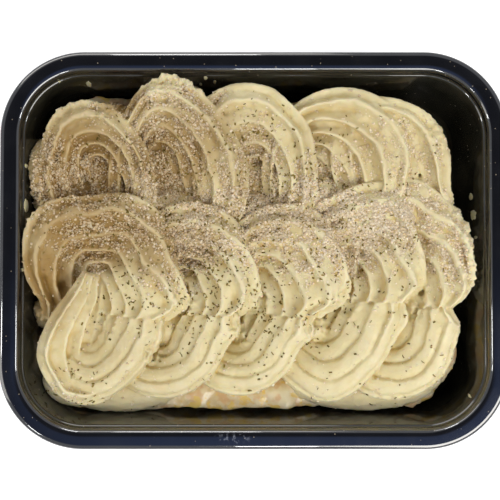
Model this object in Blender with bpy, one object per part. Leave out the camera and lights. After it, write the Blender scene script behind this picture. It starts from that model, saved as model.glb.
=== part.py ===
"""Fish pie in a black ready-meal tray: tray, creamy fish filling and piped mashed potato.

The tray stands on z = 0 with its rim on top. The filling lies in the tray up to a level line.
The mash is piped over it in two rows of clockwise loops, from right to left, so that each loop
lies on its right-hand neighbour and the front row lies on the back row. Metres, +Z up, +Y to the back.
"""

import math

import bmesh
import bpy
import numpy as np
from mathutils import Matrix, Vector

MM = 0.001

# Tray
TRAY_LENGTH = 228 * MM
TRAY_WIDTH = 178 * MM
TRAY_HEIGHT = 40 * MM
TRAY_CORNER = 38 * MM
WALL = 1.0 * MM
CORNER_STEPS = 9
# Section of the tray's upper and inner skin: distance in from the outer edge, height under the rim plane
TRAY_SECTION = [
    (0.0, -4.2), (0.0, -1.9), (0.5, -0.6), (1.8, 0.0), (6.4, 0.0), (8.2, -0.35), (9.2, -1.5),
    (9.6, -4.4), (10.8, -5.1), (16.6, -33.5), (18.3, -37.3), (22.0, -39.0),
]

# Inset from which the section is the inner wall
WALL_STARTS = 9 * MM

# Filling, which stays short of the wall in places: direction, half angle of the place, how far short
GAP = 0.3 * MM
FILLING_TOP = 18 * MM
FOOT_ROUNDING = 1 * MM
ROUNDED_FOR = 2 * MM
FILLING_SIDE_STEP = 6 * MM
BARE_PLACES = [(33, 22, 16 * MM), (0, 40, 4 * MM), (-34, 16, 7 * MM), (147, 16, 9 * MM)]

# Mash: heights of the crests of the ropes, over the tray's foot
MASH_FOOT = FILLING_TOP + GAP
CORE_LENGTH = 165 * MM
CORE_REACH = 54 * MM
CORE_TOP_BACK = 29 * MM
CORE_TOP_FRONT = 26 * MM
# Mash between the ropes and spread out under them: middle, half sizes and top over the rim, millimetres
FILL = [
    ((-42, 19), (26, 10), -4), ((-2, 17), (18, 11), -4), ((26, 22), (16, 12), -5), ((62, 21), (20, 12), -5),
    ((-67, 60), (13, 8.5), -3), ((-88, 24), (16, 12), -6), ((-97, 36), (8.5, 16), -3.5),
    ((76, 25), (10, 14), 1),
    ((-62, -59), (33, 15.5), -14.5), ((-82, -60), (16, 12), -13), ((50, -58), (37, 16), -14.5),
    ((-92, -28), (10, 9), -7), ((-40, -36), (7, 9), -7), ((72, -24), (8, 11), -3), ((29, -36), (7, 8), -8),
]
RIDGE_PITCH = 5.9 * MM
RIDGE_DEPTH = 2.8 * MM
RIDGE_SHARPNESS = 1.2
STEEP_SHARE = 0.26
FIRST_RIDGE = 0.35
RIDGES_FADE_OVER = 1 / 12
TYPICAL_WIDTH = 33 * MM
TYPICAL_HEIGHT = 24 * MM
RIDGED_FLANK = 20.5 * MM
# How far the rope goes into what is under it, and how many steps its foot takes for one of its top
ROPE_FOOT = 3 * MM
FOOT_STEP = 6
SLICES = 60
STEPS_ROUND_ROPE = 72
CORNER_EASE = 0.03
# The inner edge line follows the slit for this share of half a turn, then turns its end
SLIT_STRETCH = 1.25
VOXEL = 1.0 * MM
MASH_FACES = 7000

# One loop of piping: the middle of its slit, the slit's half length vector, the half width of its
# hollow, the notch under its torn tip (degrees and depth), and how far the rope's outer edge lies
# from the middle, for the twelve hours of a clock from three o'clock towards noon. Millimetres from
# the tray's centre. In the order of piping.
NO_NOTCH = (0, 0)
BACK_ROW = [
    ((68, 28), (-9, 18), 1.4, NO_NOTCH,
     (20.8, 23.5, 31, 38.7, 45, 40, 32, 28, 26, 30, 30, 26)),
    ((33, 29), (-8.5, 7), 1.8, NO_NOTCH,
     (40.5, 47, 46.5, 44, 38, 33, 30, 28, 27, 28, 31, 35)),
    ((1.1, 23.3), (-0.7, 11.1), 2.6, NO_NOTCH,
     (27.5, 32, 42.5, 52, 50.5, 35, 28.5, 26.5, 26.5, 26, 26.5, 27)),
    ((-39.4, 29.5), (-3.2, 11), 3.6, NO_NOTCH,
     (38, 38.5, 42.5, 50, 38.5, 30, 27.5, 28.5, 29.5, 30.5, 33.5, 38)),
    ((-67, 28), (-3.6, 9), 1.8, NO_NOTCH,
     (24, 25, 29, 38, 41.5, 34, 31.5, 32, 33, 34, 31, 26)),
]
FRONT_ROW = [
    ((64.4, -24), (5, 18), 1.4, (-6, 5),
     (30.5, 40.5, 50.5, 58.5, 45.5, 30, 25, 31, 42.5, 44, 39, 31)),
    ((35.4, -21.8), (9.9, 16.1), 1.8, (-4, 6),
     (40.5, 47, 58.5, 48, 38, 33, 32, 35.5, 43.5, 47, 38.5, 34)),
    ((-4.9, -26.2), (7.5, 20.5), 1.8, (-8, 8.5),
     (46.5, 52.5, 54, 41, 30, 26, 26.5, 32, 39, 40, 36, 32.5)),
    ((-38.1, -27.6), (8.6, 20.5), 1.8, (-5, 6.5),
     (40.5, 46, 52, 48.5, 34.5, 29, 30, 35.5, 40, 39.5, 35.5, 31.5)),
    ((-73, -25), (3, 17), 1.8, (-12, 6),
     (44.4, 43.9, 54.4, 50, 51, 36.6, 23.6, 28.6, 35.6, 43, 38.5, 36)),
]
NOTCH_WIDTH = 9
# Where the rope of a row starts and ends on its loops, in degrees, the height of its crest over the
# rim, how much that tilts and towards which side it is high
BACK_PIPING = dict(start=200, end=-40, level=-1.0, tilt=8.0, high_side=60)
BACK_LAST = dict(BACK_PIPING, level=0.5, tilt=5.0, high_side=75)
FRONT_PIPING = dict(start=215, end=-150, level=-1.0, tilt=9.0, high_side=15)
FRONT_LAST = dict(start=198, end=-118, level=2.0, tilt=5.0, high_side=40)
# The end of the piping runs back up over the last loop: left edge, right edge, crest over the rim
TAIL = [
    ((-64.0, -67.0), (-70.0, -50.0), -3.5),
    ((-74.5, -70.0), (-74.5, -52.0), 0.5),
    ((-88.0, -65.0), (-75.0, -53.5), 2.5),
    ((-97.5, -48.0), (-74.5, -45.5), 4.0),
    ((-92.0, -31.0), (-71.5, -35.0), 5.5),
    ((-83.0, -18.5), (-68.5, -24.0), 5.5),
    ((-76.0, -9.0), (-68.5, -12.0), 4.0),
]

# A rope's cross-section: share of its width from the outer edge in, drop as a share of its height
ROPE_SECTION = [
    (0.06, -1.0), (0.015, -0.72), (0.0, -0.5), (0.012, -0.28), (0.06, -0.09), (0.16, 0.0),
    (0.28, -0.01), (0.46, -0.1), (0.7, -0.28), (0.9, -0.46), (1.0, -0.62),
]


def clear_scene():
    for thing in list(bpy.data.objects):
        bpy.data.objects.remove(thing, do_unlink=True)


def material(name, colour, roughness):
    made = bpy.data.materials.new(name)
    made.use_nodes = True
    shader = made.node_tree.nodes["Principled BSDF"]
    shader.inputs["Base Color"].default_value = (*colour, 1.0)
    shader.inputs["Roughness"].default_value = roughness
    shader.inputs["Metallic"].default_value = 0.0
    return made


def add_object(name, mesh, its_material):
    mesh.materials.clear()
    mesh.materials.append(its_material)
    thing = bpy.data.objects.new(name, mesh)
    bpy.context.collection.objects.link(thing)
    return thing


def shade(mesh, angle=math.radians(35)):
    mesh.shade_smooth()
    mesh.set_sharp_from_angle(angle=angle)


def rounded_rectangle(inset, height):
    """One ring of the tray, `inset` in from its outer edge."""
    half_x = TRAY_LENGTH / 2 - inset
    half_y = TRAY_WIDTH / 2 - inset
    radius = TRAY_CORNER - inset
    ring = []
    for corner, (sx, sy) in enumerate([(1, 1), (-1, 1), (-1, -1), (1, -1)]):
        for step in range(CORNER_STEPS + 1):
            angle = math.radians(90 * (corner + step / CORNER_STEPS))
            ring.append((
                sx * (half_x - radius) + radius * math.cos(angle),
                sy * (half_y - radius) + radius * math.sin(angle),
                height,
            ))
    return ring


def add_body(work, rings):
    """Adds a closed body through rings of equal length, with a face over each end."""
    rows = [[work.verts.new(point) for point in ring] for ring in rings]
    for near, far in zip(rows, rows[1:]):
        for i in range(len(near)):
            j = (i + 1) % len(near)
            work.faces.new((near[i], near[j], far[j], far[i]))
    work.faces.new(list(reversed(rows[0])))
    work.faces.new(rows[-1])


def body_through(rings, name):
    work = bmesh.new()
    add_body(work, rings)
    return to_mesh(work, name)


def to_mesh(work, name):
    bmesh.ops.recalc_face_normals(work, faces=work.faces)
    mesh = bpy.data.meshes.new(name)
    work.to_mesh(mesh)
    work.free()
    return mesh


def skin_under(section, thickness):
    """The section moved `thickness` to its outer and lower side."""
    under = []
    for i, (inset, height) in enumerate(section):
        x0, z0 = section[max(i - 1, 0)]
        x1, z1 = section[min(i + 1, len(section) - 1)]
        length = math.hypot(x1 - x0, z1 - z0)
        side = (z1 - z0) / length, -(x1 - x0) / length
        under.append((inset + side[0] * thickness, height + side[1] * thickness))
    return under


def build_tray():
    """An open shell: floor, drafted walls, a stacking step, a flat rim and its turned-down lip."""
    skin = [(inset * MM, TRAY_HEIGHT + height * MM) for inset, height in TRAY_SECTION]
    under = skin_under(skin, WALL)
    under[0] = (skin[0][0] + WALL, skin[0][1])
    under[-1] = (skin[-1][0], 0.0)
    rings = [rounded_rectangle(*point) for point in reversed(under)]
    rings += [rounded_rectangle(*point) for point in skin]
    mesh = body_through(rings, "tray")
    shade(mesh)
    return add_object("tray", mesh, material("black_tray", (0.012, 0.013, 0.018), 0.25))


def wall_inset(height):
    """How far in from the outer edge the tray's inner wall is, at a height over its foot."""
    points = [(TRAY_HEIGHT + z * MM, x * MM) for x, z in reversed(TRAY_SECTION) if x * MM > WALL_STARTS]
    return float(np.interp(height, [p[0] for p in points], [p[1] for p in points]))


def short_of_wall(x, y):
    """How far the filling stays short of the wall in the direction of a point."""
    short = 0.0
    for direction, half_angle, most in BARE_PLACES:
        away = abs((math.degrees(math.atan2(y, x)) - direction + 180) % 360 - 180) / half_angle
        if away < 1:
            short = max(short, most * math.cos(away * math.pi / 2) ** 2)
    return short


def build_filling():
    """Fish in sauce: it fills the tray to a level line, short of the wall in the bare places."""
    floor = TRAY_HEIGHT + TRAY_SECTION[-1][1] * MM + GAP
    heights = [floor, floor + ROUNDED_FOR, floor + FILLING_SIDE_STEP, FILLING_TOP - ROUNDED_FOR, FILLING_TOP]
    rings = []
    for height in heights:
        inset = wall_inset(height) + GAP
        if height == floor:
            inset += FOOT_ROUNDING
        ring = []
        for x, y, z in rounded_rectangle(inset, height):
            pull = short_of_wall(x, y)
            length = math.hypot(x, y)
            ring.append((x * (1 - pull / length), y * (1 - pull / length), z))
        rings.append(ring)
    mesh = body_through(rings, "filling")
    shade(mesh)
    return add_object("filling", mesh, material("fish_filling", (0.55, 0.38, 0.18), 0.4))


def smooth(values, place):
    """A Catmull-Rom curve through values at whole-number places, read at one place."""
    step = math.floor(place)
    f = place - step
    p0, p1, p2, p3 = (np.array(values(step + k), float) for k in (-1, 0, 1, 2))
    return 0.5 * (
        2 * p1 + (p2 - p0) * f + (2 * p0 - 5 * p1 + 4 * p2 - p3) * f**2 + (3 * p1 - p0 - 3 * p2 + p3) * f**3
    )


def rope_section(u):
    """Across and drop of the rope's outline, at shares u of the way round it, corners eased."""
    outline = np.array(ROPE_SECTION)
    lengths = np.hypot(np.diff(outline[:, 0]) * TYPICAL_WIDTH, np.diff(outline[:, 1]) * TYPICAL_HEIGHT)
    along = np.concatenate([[0], np.cumsum(lengths)])
    along /= along[-1]
    eased = []
    for column in outline.T:
        shifts = np.linspace(-CORNER_EASE, CORNER_EASE, 7)
        samples = [np.interp(np.clip(u + shift, 0, 1), along, column) for shift in shifts]
        eased.append(np.mean(samples, axis=0))
    return eased


def ridge(v):
    """A star nozzle's ridge: 1 on its crest, a steep flank towards the hollow, a gentle one outwards."""
    v = v % 1.0
    turn = np.where(v < STEEP_SHARE, 0.5 * v / STEEP_SHARE, 0.5 + 0.5 * (v - STEEP_SHARE) / (1 - STEEP_SHARE))
    return (0.5 + 0.5 * np.cos(2 * math.pi * turn)) ** RIDGE_SHARPNESS


def rope_rings(outer, inner, crests, foot=MASH_FOOT):
    """Rings of a rope between an outer and an inner edge line, with its crest heights, ridged lengthways."""
    width = np.linalg.norm(outer - inner, axis=1)
    u = np.linspace(0, 1, STEPS_ROUND_ROPE)
    across, drop = rope_section(u)
    run, rise = np.gradient(across * width.mean()), np.gradient(drop * (crests.mean() - foot))
    length = np.hypot(run, rise)
    ridges = round((width.mean() + RIDGED_FLANK) / RIDGE_PITCH)
    fade = np.minimum(1, np.minimum(u, 1 - u) / RIDGES_FADE_OVER)
    sink = -RIDGE_DEPTH * (1 - ridge(u * ridges + FIRST_RIDGE)) * fade
    rings = []
    for out_xy, in_xy, crest, wide in zip(outer, inner, crests, width):
        inwards = (in_xy - out_xy) / wide
        x = across * wide - rise / length * sink
        z = crest + drop * (crest - foot) + run / length * sink
        top = [within_wall(*(out_xy + inwards * a), b, 2 * GAP) for a, b in zip(x, z)]
        under = [(p[0], p[1], foot - ROPE_FOOT) for p in reversed(top[::FOOT_STEP])]
        rings.append(top + under)
    return rings


def loop_lines(loop, start, end, level, tilt, high_side):
    """The outer line, inner line and crest heights of one loop, clockwise from angle start to end."""
    middle, slit, hollow, (notch_way, notch_depth), reach = loop
    outer, inner, crests = [], [], []
    for degrees in np.linspace(start, end, SLICES):
        angle = math.radians(degrees)
        way = np.array([math.cos(angle), math.sin(angle)])
        along_slit = max(-1.0, min(1.0, SLIT_STRETCH * math.sin(angle)))
        notch = notch_depth * math.exp(-(((degrees - notch_way) / NOTCH_WIDTH) ** 2))
        far = smooth(lambda hour: reach[hour % 12], degrees / 30) - notch
        outer.append((np.array(middle) + way * far) * MM)
        inner.append((np.array(middle) + np.array(slit) * along_slit + way * hollow) * MM)
        crests.append(TRAY_HEIGHT + (level + tilt * math.cos(math.radians(degrees - high_side))) * MM)
    return np.array(outer), np.array(inner), np.array(crests)


def tail_lines():
    """The outer line, inner line and crest heights of the end of the piping."""
    rows = [np.array([*left, *right, crest]) for left, right, crest in TAIL]
    rows = [2 * rows[0] - rows[1]] + rows + [2 * rows[-1] - rows[-2]]
    places = np.linspace(1, len(TAIL), SLICES // 2)
    lines = np.array([smooth(lambda i: rows[min(i, len(rows) - 1)], place) for place in places]) * MM
    return lines[:, 0:2], lines[:, 2:4], lines[:, 4] + TRAY_HEIGHT


def within_wall(x, y, z, gap):
    """The point, moved in if need be to stay a gap inside the tray's wall."""
    inset = wall_inset(z) + gap
    radius = TRAY_CORNER - inset
    flat_x, flat_y = TRAY_LENGTH / 2 - TRAY_CORNER, TRAY_WIDTH / 2 - TRAY_CORNER
    past_x, past_y = max(0.0, abs(x) - flat_x), max(0.0, abs(y) - flat_y)
    past = math.hypot(past_x, past_y)
    if past > radius and z < TRAY_HEIGHT + gap:
        x = math.copysign(flat_x + past_x * radius / past, x) if past_x else x
        y = math.copysign(flat_y + past_y * radius / past, y) if past_y else y
    return x, y, z


def add_core(work, reach, top):
    """Adds a block under one row, from the middle of the tray to the row's far side."""
    for vert in bmesh.ops.create_cube(work, size=1.0)["verts"]:
        vert.co.x *= CORE_LENGTH
        vert.co.y = reach if vert.co.y * reach > 0 else 0
        vert.co.z = top if vert.co.z > 0 else MASH_FOOT - ROPE_FOOT


def piped_ropes():
    """All the loops as overlapping closed solids in one mesh, with a core under them."""
    work = bmesh.new()
    lines = [loop_lines(loop, **BACK_PIPING) for loop in BACK_ROW[:-1]]
    lines.append(loop_lines(BACK_ROW[-1], **BACK_LAST))
    lines += [loop_lines(loop, **FRONT_PIPING) for loop in FRONT_ROW[:-1]]
    lines += [loop_lines(FRONT_ROW[-1], **FRONT_LAST), tail_lines()]
    for line in lines:
        add_body(work, rope_rings(*line))
    add_core(work, CORE_REACH, CORE_TOP_BACK)
    add_core(work, -CORE_REACH, CORE_TOP_FRONT)
    for middle, half_sizes, top in FILL:
        place = Matrix.LocRotScale(
            Vector((middle[0] * MM, middle[1] * MM, MASH_FOOT)), None,
            Vector((half_sizes[0] * MM, half_sizes[1] * MM, TRAY_HEIGHT + top * MM - MASH_FOOT)),
        )
        bmesh.ops.create_uvsphere(work, u_segments=32, v_segments=12, radius=1.0, matrix=place)
    return work


def keep_largest_body(work):
    """Removes any crumb that the thinning left loose."""
    waiting = set(work.verts)
    bodies = []
    while waiting:
        body = set()
        edge_of_body = [waiting.pop()]
        while edge_of_body:
            vert = edge_of_body.pop()
            body.add(vert)
            near = {edge.other_vert(vert) for edge in vert.link_edges} & waiting
            waiting -= near
            edge_of_body.extend(near)
        bodies.append(body)
    bodies.sort(key=len)
    for body in bodies[:-1]:
        bmesh.ops.delete(work, geom=list(body), context="VERTS")


def build_mash():
    """The ropes melted into one body, cut level at its foot."""
    ropes = bpy.data.objects.new("ropes", to_mesh(piped_ropes(), "ropes"))
    bpy.context.collection.objects.link(ropes)
    melt = ropes.modifiers.new("melt", "REMESH")
    melt.mode = "VOXEL"
    melt.voxel_size = VOXEL
    faces = sum(len(p.vertices) - 2 for p in evaluated_mesh(ropes).polygons)
    thin = ropes.modifiers.new("thin", "DECIMATE")
    thin.ratio = MASH_FACES / faces
    work = bmesh.new()
    work.from_mesh(evaluated_mesh(ropes))
    bpy.data.objects.remove(ropes, do_unlink=True)
    keep_largest_body(work)
    for vert in work.verts:
        vert.co = within_wall(*vert.co, GAP)
    cut = bmesh.ops.bisect_plane(
        work, geom=work.verts[:] + work.edges[:] + work.faces[:],
        plane_co=(0, 0, MASH_FOOT), plane_no=(0, 0, 1), clear_inner=True,
    )
    rim = [e for e in cut["geom_cut"] if isinstance(e, bmesh.types.BMEdge)]
    bmesh.ops.triangle_fill(work, edges=rim, use_beauty=True)
    mesh = to_mesh(work, "mash")
    shade(mesh)
    return add_object("mash", mesh, material("mash", (0.78, 0.64, 0.36), 0.5))


def evaluated_mesh(thing):
    graph = bpy.context.evaluated_depsgraph_get()
    return bpy.data.meshes.new_from_object(thing.evaluated_get(graph), depsgraph=graph)


def main():
    clear_scene()
    build_tray()
    build_filling()
    build_mash()


main()
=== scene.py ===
# %% [markdown]
# # Fish pie in a black ready-meal tray
# The tray, the creamy filling and the piped mash already exist as plain solids. They are the frame
# of this scene: they say where everything is and how big it is. Each solid is replaced here by a
# piece with its real surface, and breadcrumbs, parsley and small spills are strewn over them.
# %% The frame
import math
from functools import reduce

import bmesh
import bpy
import numpy as np
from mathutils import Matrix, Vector
from mathutils.noise import noise as noise_at


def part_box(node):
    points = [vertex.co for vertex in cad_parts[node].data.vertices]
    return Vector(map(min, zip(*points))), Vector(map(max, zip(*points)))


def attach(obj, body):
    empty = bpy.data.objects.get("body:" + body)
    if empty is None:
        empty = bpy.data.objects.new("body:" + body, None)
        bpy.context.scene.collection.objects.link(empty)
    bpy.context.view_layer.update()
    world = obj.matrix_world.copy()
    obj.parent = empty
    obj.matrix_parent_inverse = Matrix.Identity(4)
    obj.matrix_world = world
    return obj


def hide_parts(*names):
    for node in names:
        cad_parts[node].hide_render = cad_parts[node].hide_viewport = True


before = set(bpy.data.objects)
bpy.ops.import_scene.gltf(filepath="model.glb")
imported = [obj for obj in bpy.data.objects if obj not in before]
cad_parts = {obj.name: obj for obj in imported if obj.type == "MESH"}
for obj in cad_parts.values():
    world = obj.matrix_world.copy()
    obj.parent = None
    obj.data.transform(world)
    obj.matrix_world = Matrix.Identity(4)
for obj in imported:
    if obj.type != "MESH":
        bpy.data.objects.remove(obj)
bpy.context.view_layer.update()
MM = 0.001
TRAY_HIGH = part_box("tray")[1]
RIM = TRAY_HIGH.z
FILLING_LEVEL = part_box("filling")[1].z
MASH_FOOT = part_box("mash")[0].z
heights = (RIM / MM, FILLING_LEVEL / MM, MASH_FOOT / MM)
print("rim at %.1f mm, filling to %.1f mm, mash from %.1f mm" % heights)

# %% [markdown]
# ## Camera, light and floor
# The pie is seen from almost straight above, from a little towards its front. A big soft lamp at the
# front right brings out the ridges. Weaker ones at the back and on the left, and pale surroundings,
# soften its shade. One lamp alone would leave the glossy tray dull, so small lamps stand round it
# like windows, and each is mirrored as a thin bright line in the rounded edge of the rim.
# %% Camera
VIEW_HEIGHT = 470 * MM
VIEW_WIDTH = 222.5 * MM
SENSOR_WIDTH = 36
eye = Vector((-1.8 * MM, -15.9 * MM, RIM + VIEW_HEIGHT))
aim = Vector((-1.8 * MM, -0.3 * MM, RIM))

camera_data = bpy.data.cameras.new("camera")
camera_data.sensor_width = SENSOR_WIDTH
camera_data.lens = SENSOR_WIDTH * VIEW_HEIGHT / VIEW_WIDTH
camera_data.clip_start = 10 * MM
camera = bpy.data.objects.new("camera", camera_data)
camera.location = eye
camera.rotation_mode = "QUATERNION"
camera.rotation_quaternion = (aim - eye).to_track_quat("-Z", "Y")
bpy.context.collection.objects.link(camera)
bpy.context.scene.camera = camera
bpy.context.scene.view_settings.view_transform = "Standard"
print("lens %.1f mm" % camera_data.lens)


# %% Lamps
WHITE = (1, 1, 1)
WARM = (1.0, 0.96, 0.90)
# Name, place and size in metres, power in watts, colour
LAMPS = [
    ("front_panel", (0.44, -0.50, 0.74), (0.8, 0.5), 6.1, (1.0, 0.975, 0.93)),
    ("back_panel", (-0.30, 0.75, 0.60), (0.9, 0.3), 1.8, WARM),
    ("side_panel", (-0.85, -0.25, 0.55), (0.3, 0.8), 1.2, WARM),
    ("front_window", (0.03, -0.60, 0.66), (0.10, 0.10), 0.6, WHITE),
    ("right_window", (0.60, -0.08, 0.66), (0.08, 0.16), 0.6, WHITE),
    ("left_window", (-0.60, -0.07, 0.66), (0.06, 0.12), 0.4, WHITE),
    ("back_window", (-0.08, 0.60, 0.66), (0.18, 0.07), 0.6, WHITE),
    ("corner_window", (-0.44, -0.44, 0.66), (0.08, 0.08), 0.35, WHITE),
]


def soft_lamp(name, place, size, power, colour):
    """A rectangular lamp that faces the middle of the tray."""
    lamp = bpy.data.lights.new(name, "AREA")
    lamp.shape = "RECTANGLE"
    lamp.size, lamp.size_y = size
    lamp.energy = power
    lamp.color = colour
    made = bpy.data.objects.new(name, lamp)
    made.location = place
    made.rotation_mode = "QUATERNION"
    made.rotation_quaternion = (Vector((0, 0, RIM)) - Vector(place)).to_track_quat("-Z", "Y")
    bpy.context.collection.objects.link(made)


for lamp in LAMPS:
    soft_lamp(*lamp)
print("%d lamps" % len(LAMPS))


# %% [markdown]
# ## Helpers for node trees
# Shapes and finishes are both made with nodes. These few functions add a node and feed it, start a
# Geometry Nodes tree with named inputs, and turn what a tree makes into a plain mesh.
# %% Adding nodes
def node(tree, kind, feeds=None, **settings):
    """Adds a node, sets its properties, then feeds its inputs with links or plain values."""
    made = tree.nodes.new(kind)
    for name, value in settings.items():
        setattr(made, name, value)
    for name, value in (feeds or {}).items():
        if isinstance(value, bpy.types.NodeSocket):
            tree.links.new(value, made.inputs[name])
        else:
            made.inputs[name].default_value = value
    return made


def calc(tree, operation, *values):
    """The result of one Math node."""
    return node(tree, "ShaderNodeMath", dict(enumerate(values)), operation=operation).outputs[0]


def times(tree, *values):
    """All the values multiplied, from left to right."""
    return reduce(lambda so_far, value: calc(tree, "MULTIPLY", so_far, value), values)


def plus(tree, *values):
    """All the values added, from left to right."""
    return reduce(lambda so_far, value: calc(tree, "ADD", so_far, value), values)


def minus(tree, value, less):
    return calc(tree, "SUBTRACT", value, less)


def over(tree, value, divisor):
    return calc(tree, "DIVIDE", value, divisor)


# %% Nodes for places and directions
def vector_calc(tree, operation, *values):
    """The vector result of one Vector Math node."""
    return node(tree, "ShaderNodeVectorMath", dict(enumerate(values)), operation=operation).outputs[0]


def scaled(tree, vector, factor):
    return node(tree, "ShaderNodeVectorMath", {0: vector, "Scale": factor}, operation="SCALE").outputs[0]


def length_of(tree, vector):
    return node(tree, "ShaderNodeVectorMath", {0: vector}, operation="LENGTH").outputs["Value"]


def parts_of(tree, vector):
    """A vector's x, y and z."""
    return node(tree, "ShaderNodeSeparateXYZ", {0: vector}).outputs


def upwards(tree, height):
    return node(tree, "ShaderNodeCombineXYZ", {2: height}).outputs[0]


def place_between(tree, share, low, high):
    """A place on the way from low, where share is 0, to high, where it is 1."""
    return node(tree, "ShaderNodeMix", {0: share, 4: low, 5: high}, data_type="VECTOR").outputs[1]


# %% Nodes that shape a value
def between(tree, share, low, high):
    """Mixes two numbers: low where share is 0, high where it is 1."""
    return node(tree, "ShaderNodeMix", {0: share, 2: low, 3: high}, data_type="FLOAT").outputs[0]


def ramp(tree, value, low, high, to_low=0.0, to_high=1.0):
    """Eases a value from one range into another."""
    feeds = {"Value": value, "From Min": low, "From Max": high, "To Min": to_low, "To Max": to_high}
    return node(tree, "ShaderNodeMapRange", feeds, interpolation_type="SMOOTHSTEP").outputs[0]


def profile(tree, value, points):
    """A Float Curve node through the given points, smooth between them."""
    made = node(tree, "ShaderNodeFloatCurve", {"Value": value})
    curve = made.mapping.curves[0]
    curve.points[0].location = points[0]
    curve.points[1].location = points[-1]
    for point in points[1:-1]:
        curve.points.new(*point)
    made.mapping.update()
    return made.outputs[0]


# %% Trees that make shapes
def shape_tree(name, **inputs):
    """A Geometry Nodes tree with one named input for each size: (kind of socket, value)."""
    tree = bpy.data.node_groups.new(name, "GeometryNodeTree")
    tree.interface.new_socket("Geometry", in_out="INPUT", socket_type="NodeSocketGeometry")
    tree.interface.new_socket("Geometry", in_out="OUTPUT", socket_type="NodeSocketGeometry")
    for label, (kind, value) in inputs.items():
        label = label.replace("_", " ").capitalize()
        socket = tree.interface.new_socket(label, in_out="INPUT", socket_type="NodeSocket" + kind)
        if value is not None:
            socket.default_value = value
    return tree, tree.nodes.new("NodeGroupInput").outputs, tree.nodes.new("NodeGroupOutput").inputs[0]


def surface_place(tree):
    return node(tree, "GeometryNodeInputPosition").outputs[0]


def surface_normal(tree):
    return node(tree, "GeometryNodeInputNormal").outputs[0]


def keep_value(tree, shape, name, value):
    """Notes a value on the surface under a name."""
    feeds = {"Geometry": shape, "Name": name, "Value": value}
    return node(tree, "GeometryNodeStoreNamedAttribute", feeds, data_type="FLOAT", domain="POINT").outputs[0]


def noted(tree, name, kind="FLOAT"):
    """What the surface has noted under a name."""
    return node(tree, "GeometryNodeInputNamedAttribute", {"Name": name}, data_type=kind).outputs[0]


def pushed(tree, shape, offset):
    """A shape whose points are moved by an offset."""
    return node(tree, "GeometryNodeSetPosition", {"Geometry": shape, "Offset": offset}).outputs[0]


def finish_tree(tree, shape, output, finish):
    """Realizes the instances, gives the shape its material and sends it out."""
    real = node(tree, "GeometryNodeRealizeInstances", {0: shape}).outputs[0]
    done = node(tree, "GeometryNodeSetMaterial", {"Geometry": real, "Material": finish}).outputs[0]
    tree.links.new(done, output)


def grow(start, tree, **inputs):
    """What a tree makes of an object, as a plain mesh."""
    modifier = start.modifiers.new(tree.name, "NODES")
    modifier.node_group = tree
    for item in tree.interface.items_tree:
        key = item.name.replace(" ", "_").lower()
        if item.in_out == "INPUT" and key in inputs:
            modifier[item.identifier] = inputs[key]
    mesh = plain_mesh(start)
    start.modifiers.remove(modifier)
    return mesh


def plain_mesh(thing):
    """An object's mesh as its modifiers leave it."""
    graph = bpy.context.evaluated_depsgraph_get()
    return bpy.data.meshes.new_from_object(thing.evaluated_get(graph), depsgraph=graph)


# %% From meshes to pieces
def mesh_of(work, name):
    """The mesh of a finished bmesh."""
    mesh = bpy.data.meshes.new(name)
    work.to_mesh(mesh)
    work.free()
    return mesh


def melted(thing, voxel):
    """The outer skin of all that an object holds, as one closed mesh."""
    melt = thing.modifiers.new("melt", "REMESH")
    melt.mode = "VOXEL"
    melt.voxel_size = voxel
    mesh = plain_mesh(thing)
    thing.modifiers.remove(melt)
    return mesh


def add_piece(name, mesh):
    mesh.name = name
    piece = bpy.data.objects.new(name, mesh)
    bpy.context.collection.objects.link(piece)
    return piece


def triangles(mesh):
    return sum(len(face.vertices) - 2 for face in mesh.polygons)


print("helpers ready")


# %% [markdown]
# ## Finishes
# A finish starts from a Principled shader. What several finishes share, a fine uneven grain, could
# be copied into each. Here it is a node group with named inputs, built once, so that each finish
# only gives it sizes.
# %% A new finish
def new_finish(name, **values):
    """A material with a Principled shader, its plain values set on the shader itself."""
    made = bpy.data.materials.new(name)
    made.use_nodes = True
    shader = made.node_tree.nodes["Principled BSDF"]
    for label, value in values.items():
        shader.inputs[label.replace("_", " ")].default_value = value
    return made, made.node_tree, shader


def colour_between(tree, share, low, high):
    """Mixes two colours: low where share is 0, high where it is 1."""
    low, high = (end if isinstance(end, bpy.types.NodeSocket) else (*end, 1) for end in (low, high))
    return node(tree, "ShaderNodeMix", {0: share, 6: low, 7: high}, data_type="RGBA").outputs[2]


def red_of(tree, colour):
    return node(tree, "ShaderNodeSeparateColor", {0: colour}).outputs[0]


def attribute(tree, name):
    """What the surface has noted under a name, for a finish."""
    return node(tree, "ShaderNodeAttribute", attribute_name=name).outputs["Fac"]


def object_place(tree):
    return node(tree, "ShaderNodeTexCoord").outputs["Object"]


def noise(tree, place, size, detail=2.0, roughness=0.5):
    """Cloudy noise whose blotches are about `size` metres wide."""
    feeds = {"Vector": place, "Scale": 1 / size, "Detail": detail, "Roughness": roughness}
    return node(tree, "ShaderNodeTexNoise", feeds).outputs["Fac"]


def drift_at(tree, place, size, detail):
    """A direction from cloudy noise, up to 0.5 each way."""
    feeds = {"Vector": place, "Scale": 1 / size, "Detail": detail}
    colour = node(tree, "ShaderNodeTexNoise", feeds).outputs["Color"]
    return vector_calc(tree, "SUBTRACT", colour, (0.5, 0.5, 0.5))


# %% Shared group: grain
def new_group(name, kind, takes, gives):
    """A node group with named inputs and outputs, with the sockets inside it."""
    group = bpy.data.node_groups.new(name, kind)
    for way, labels in (("INPUT", takes), ("OUTPUT", gives)):
        for label, socket in labels.items():
            group.interface.new_socket(label, in_out=way, socket_type="NodeSocket" + socket)
    return group, group.nodes.new("NodeGroupInput").outputs, group.nodes.new("NodeGroupOutput").inputs


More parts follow.
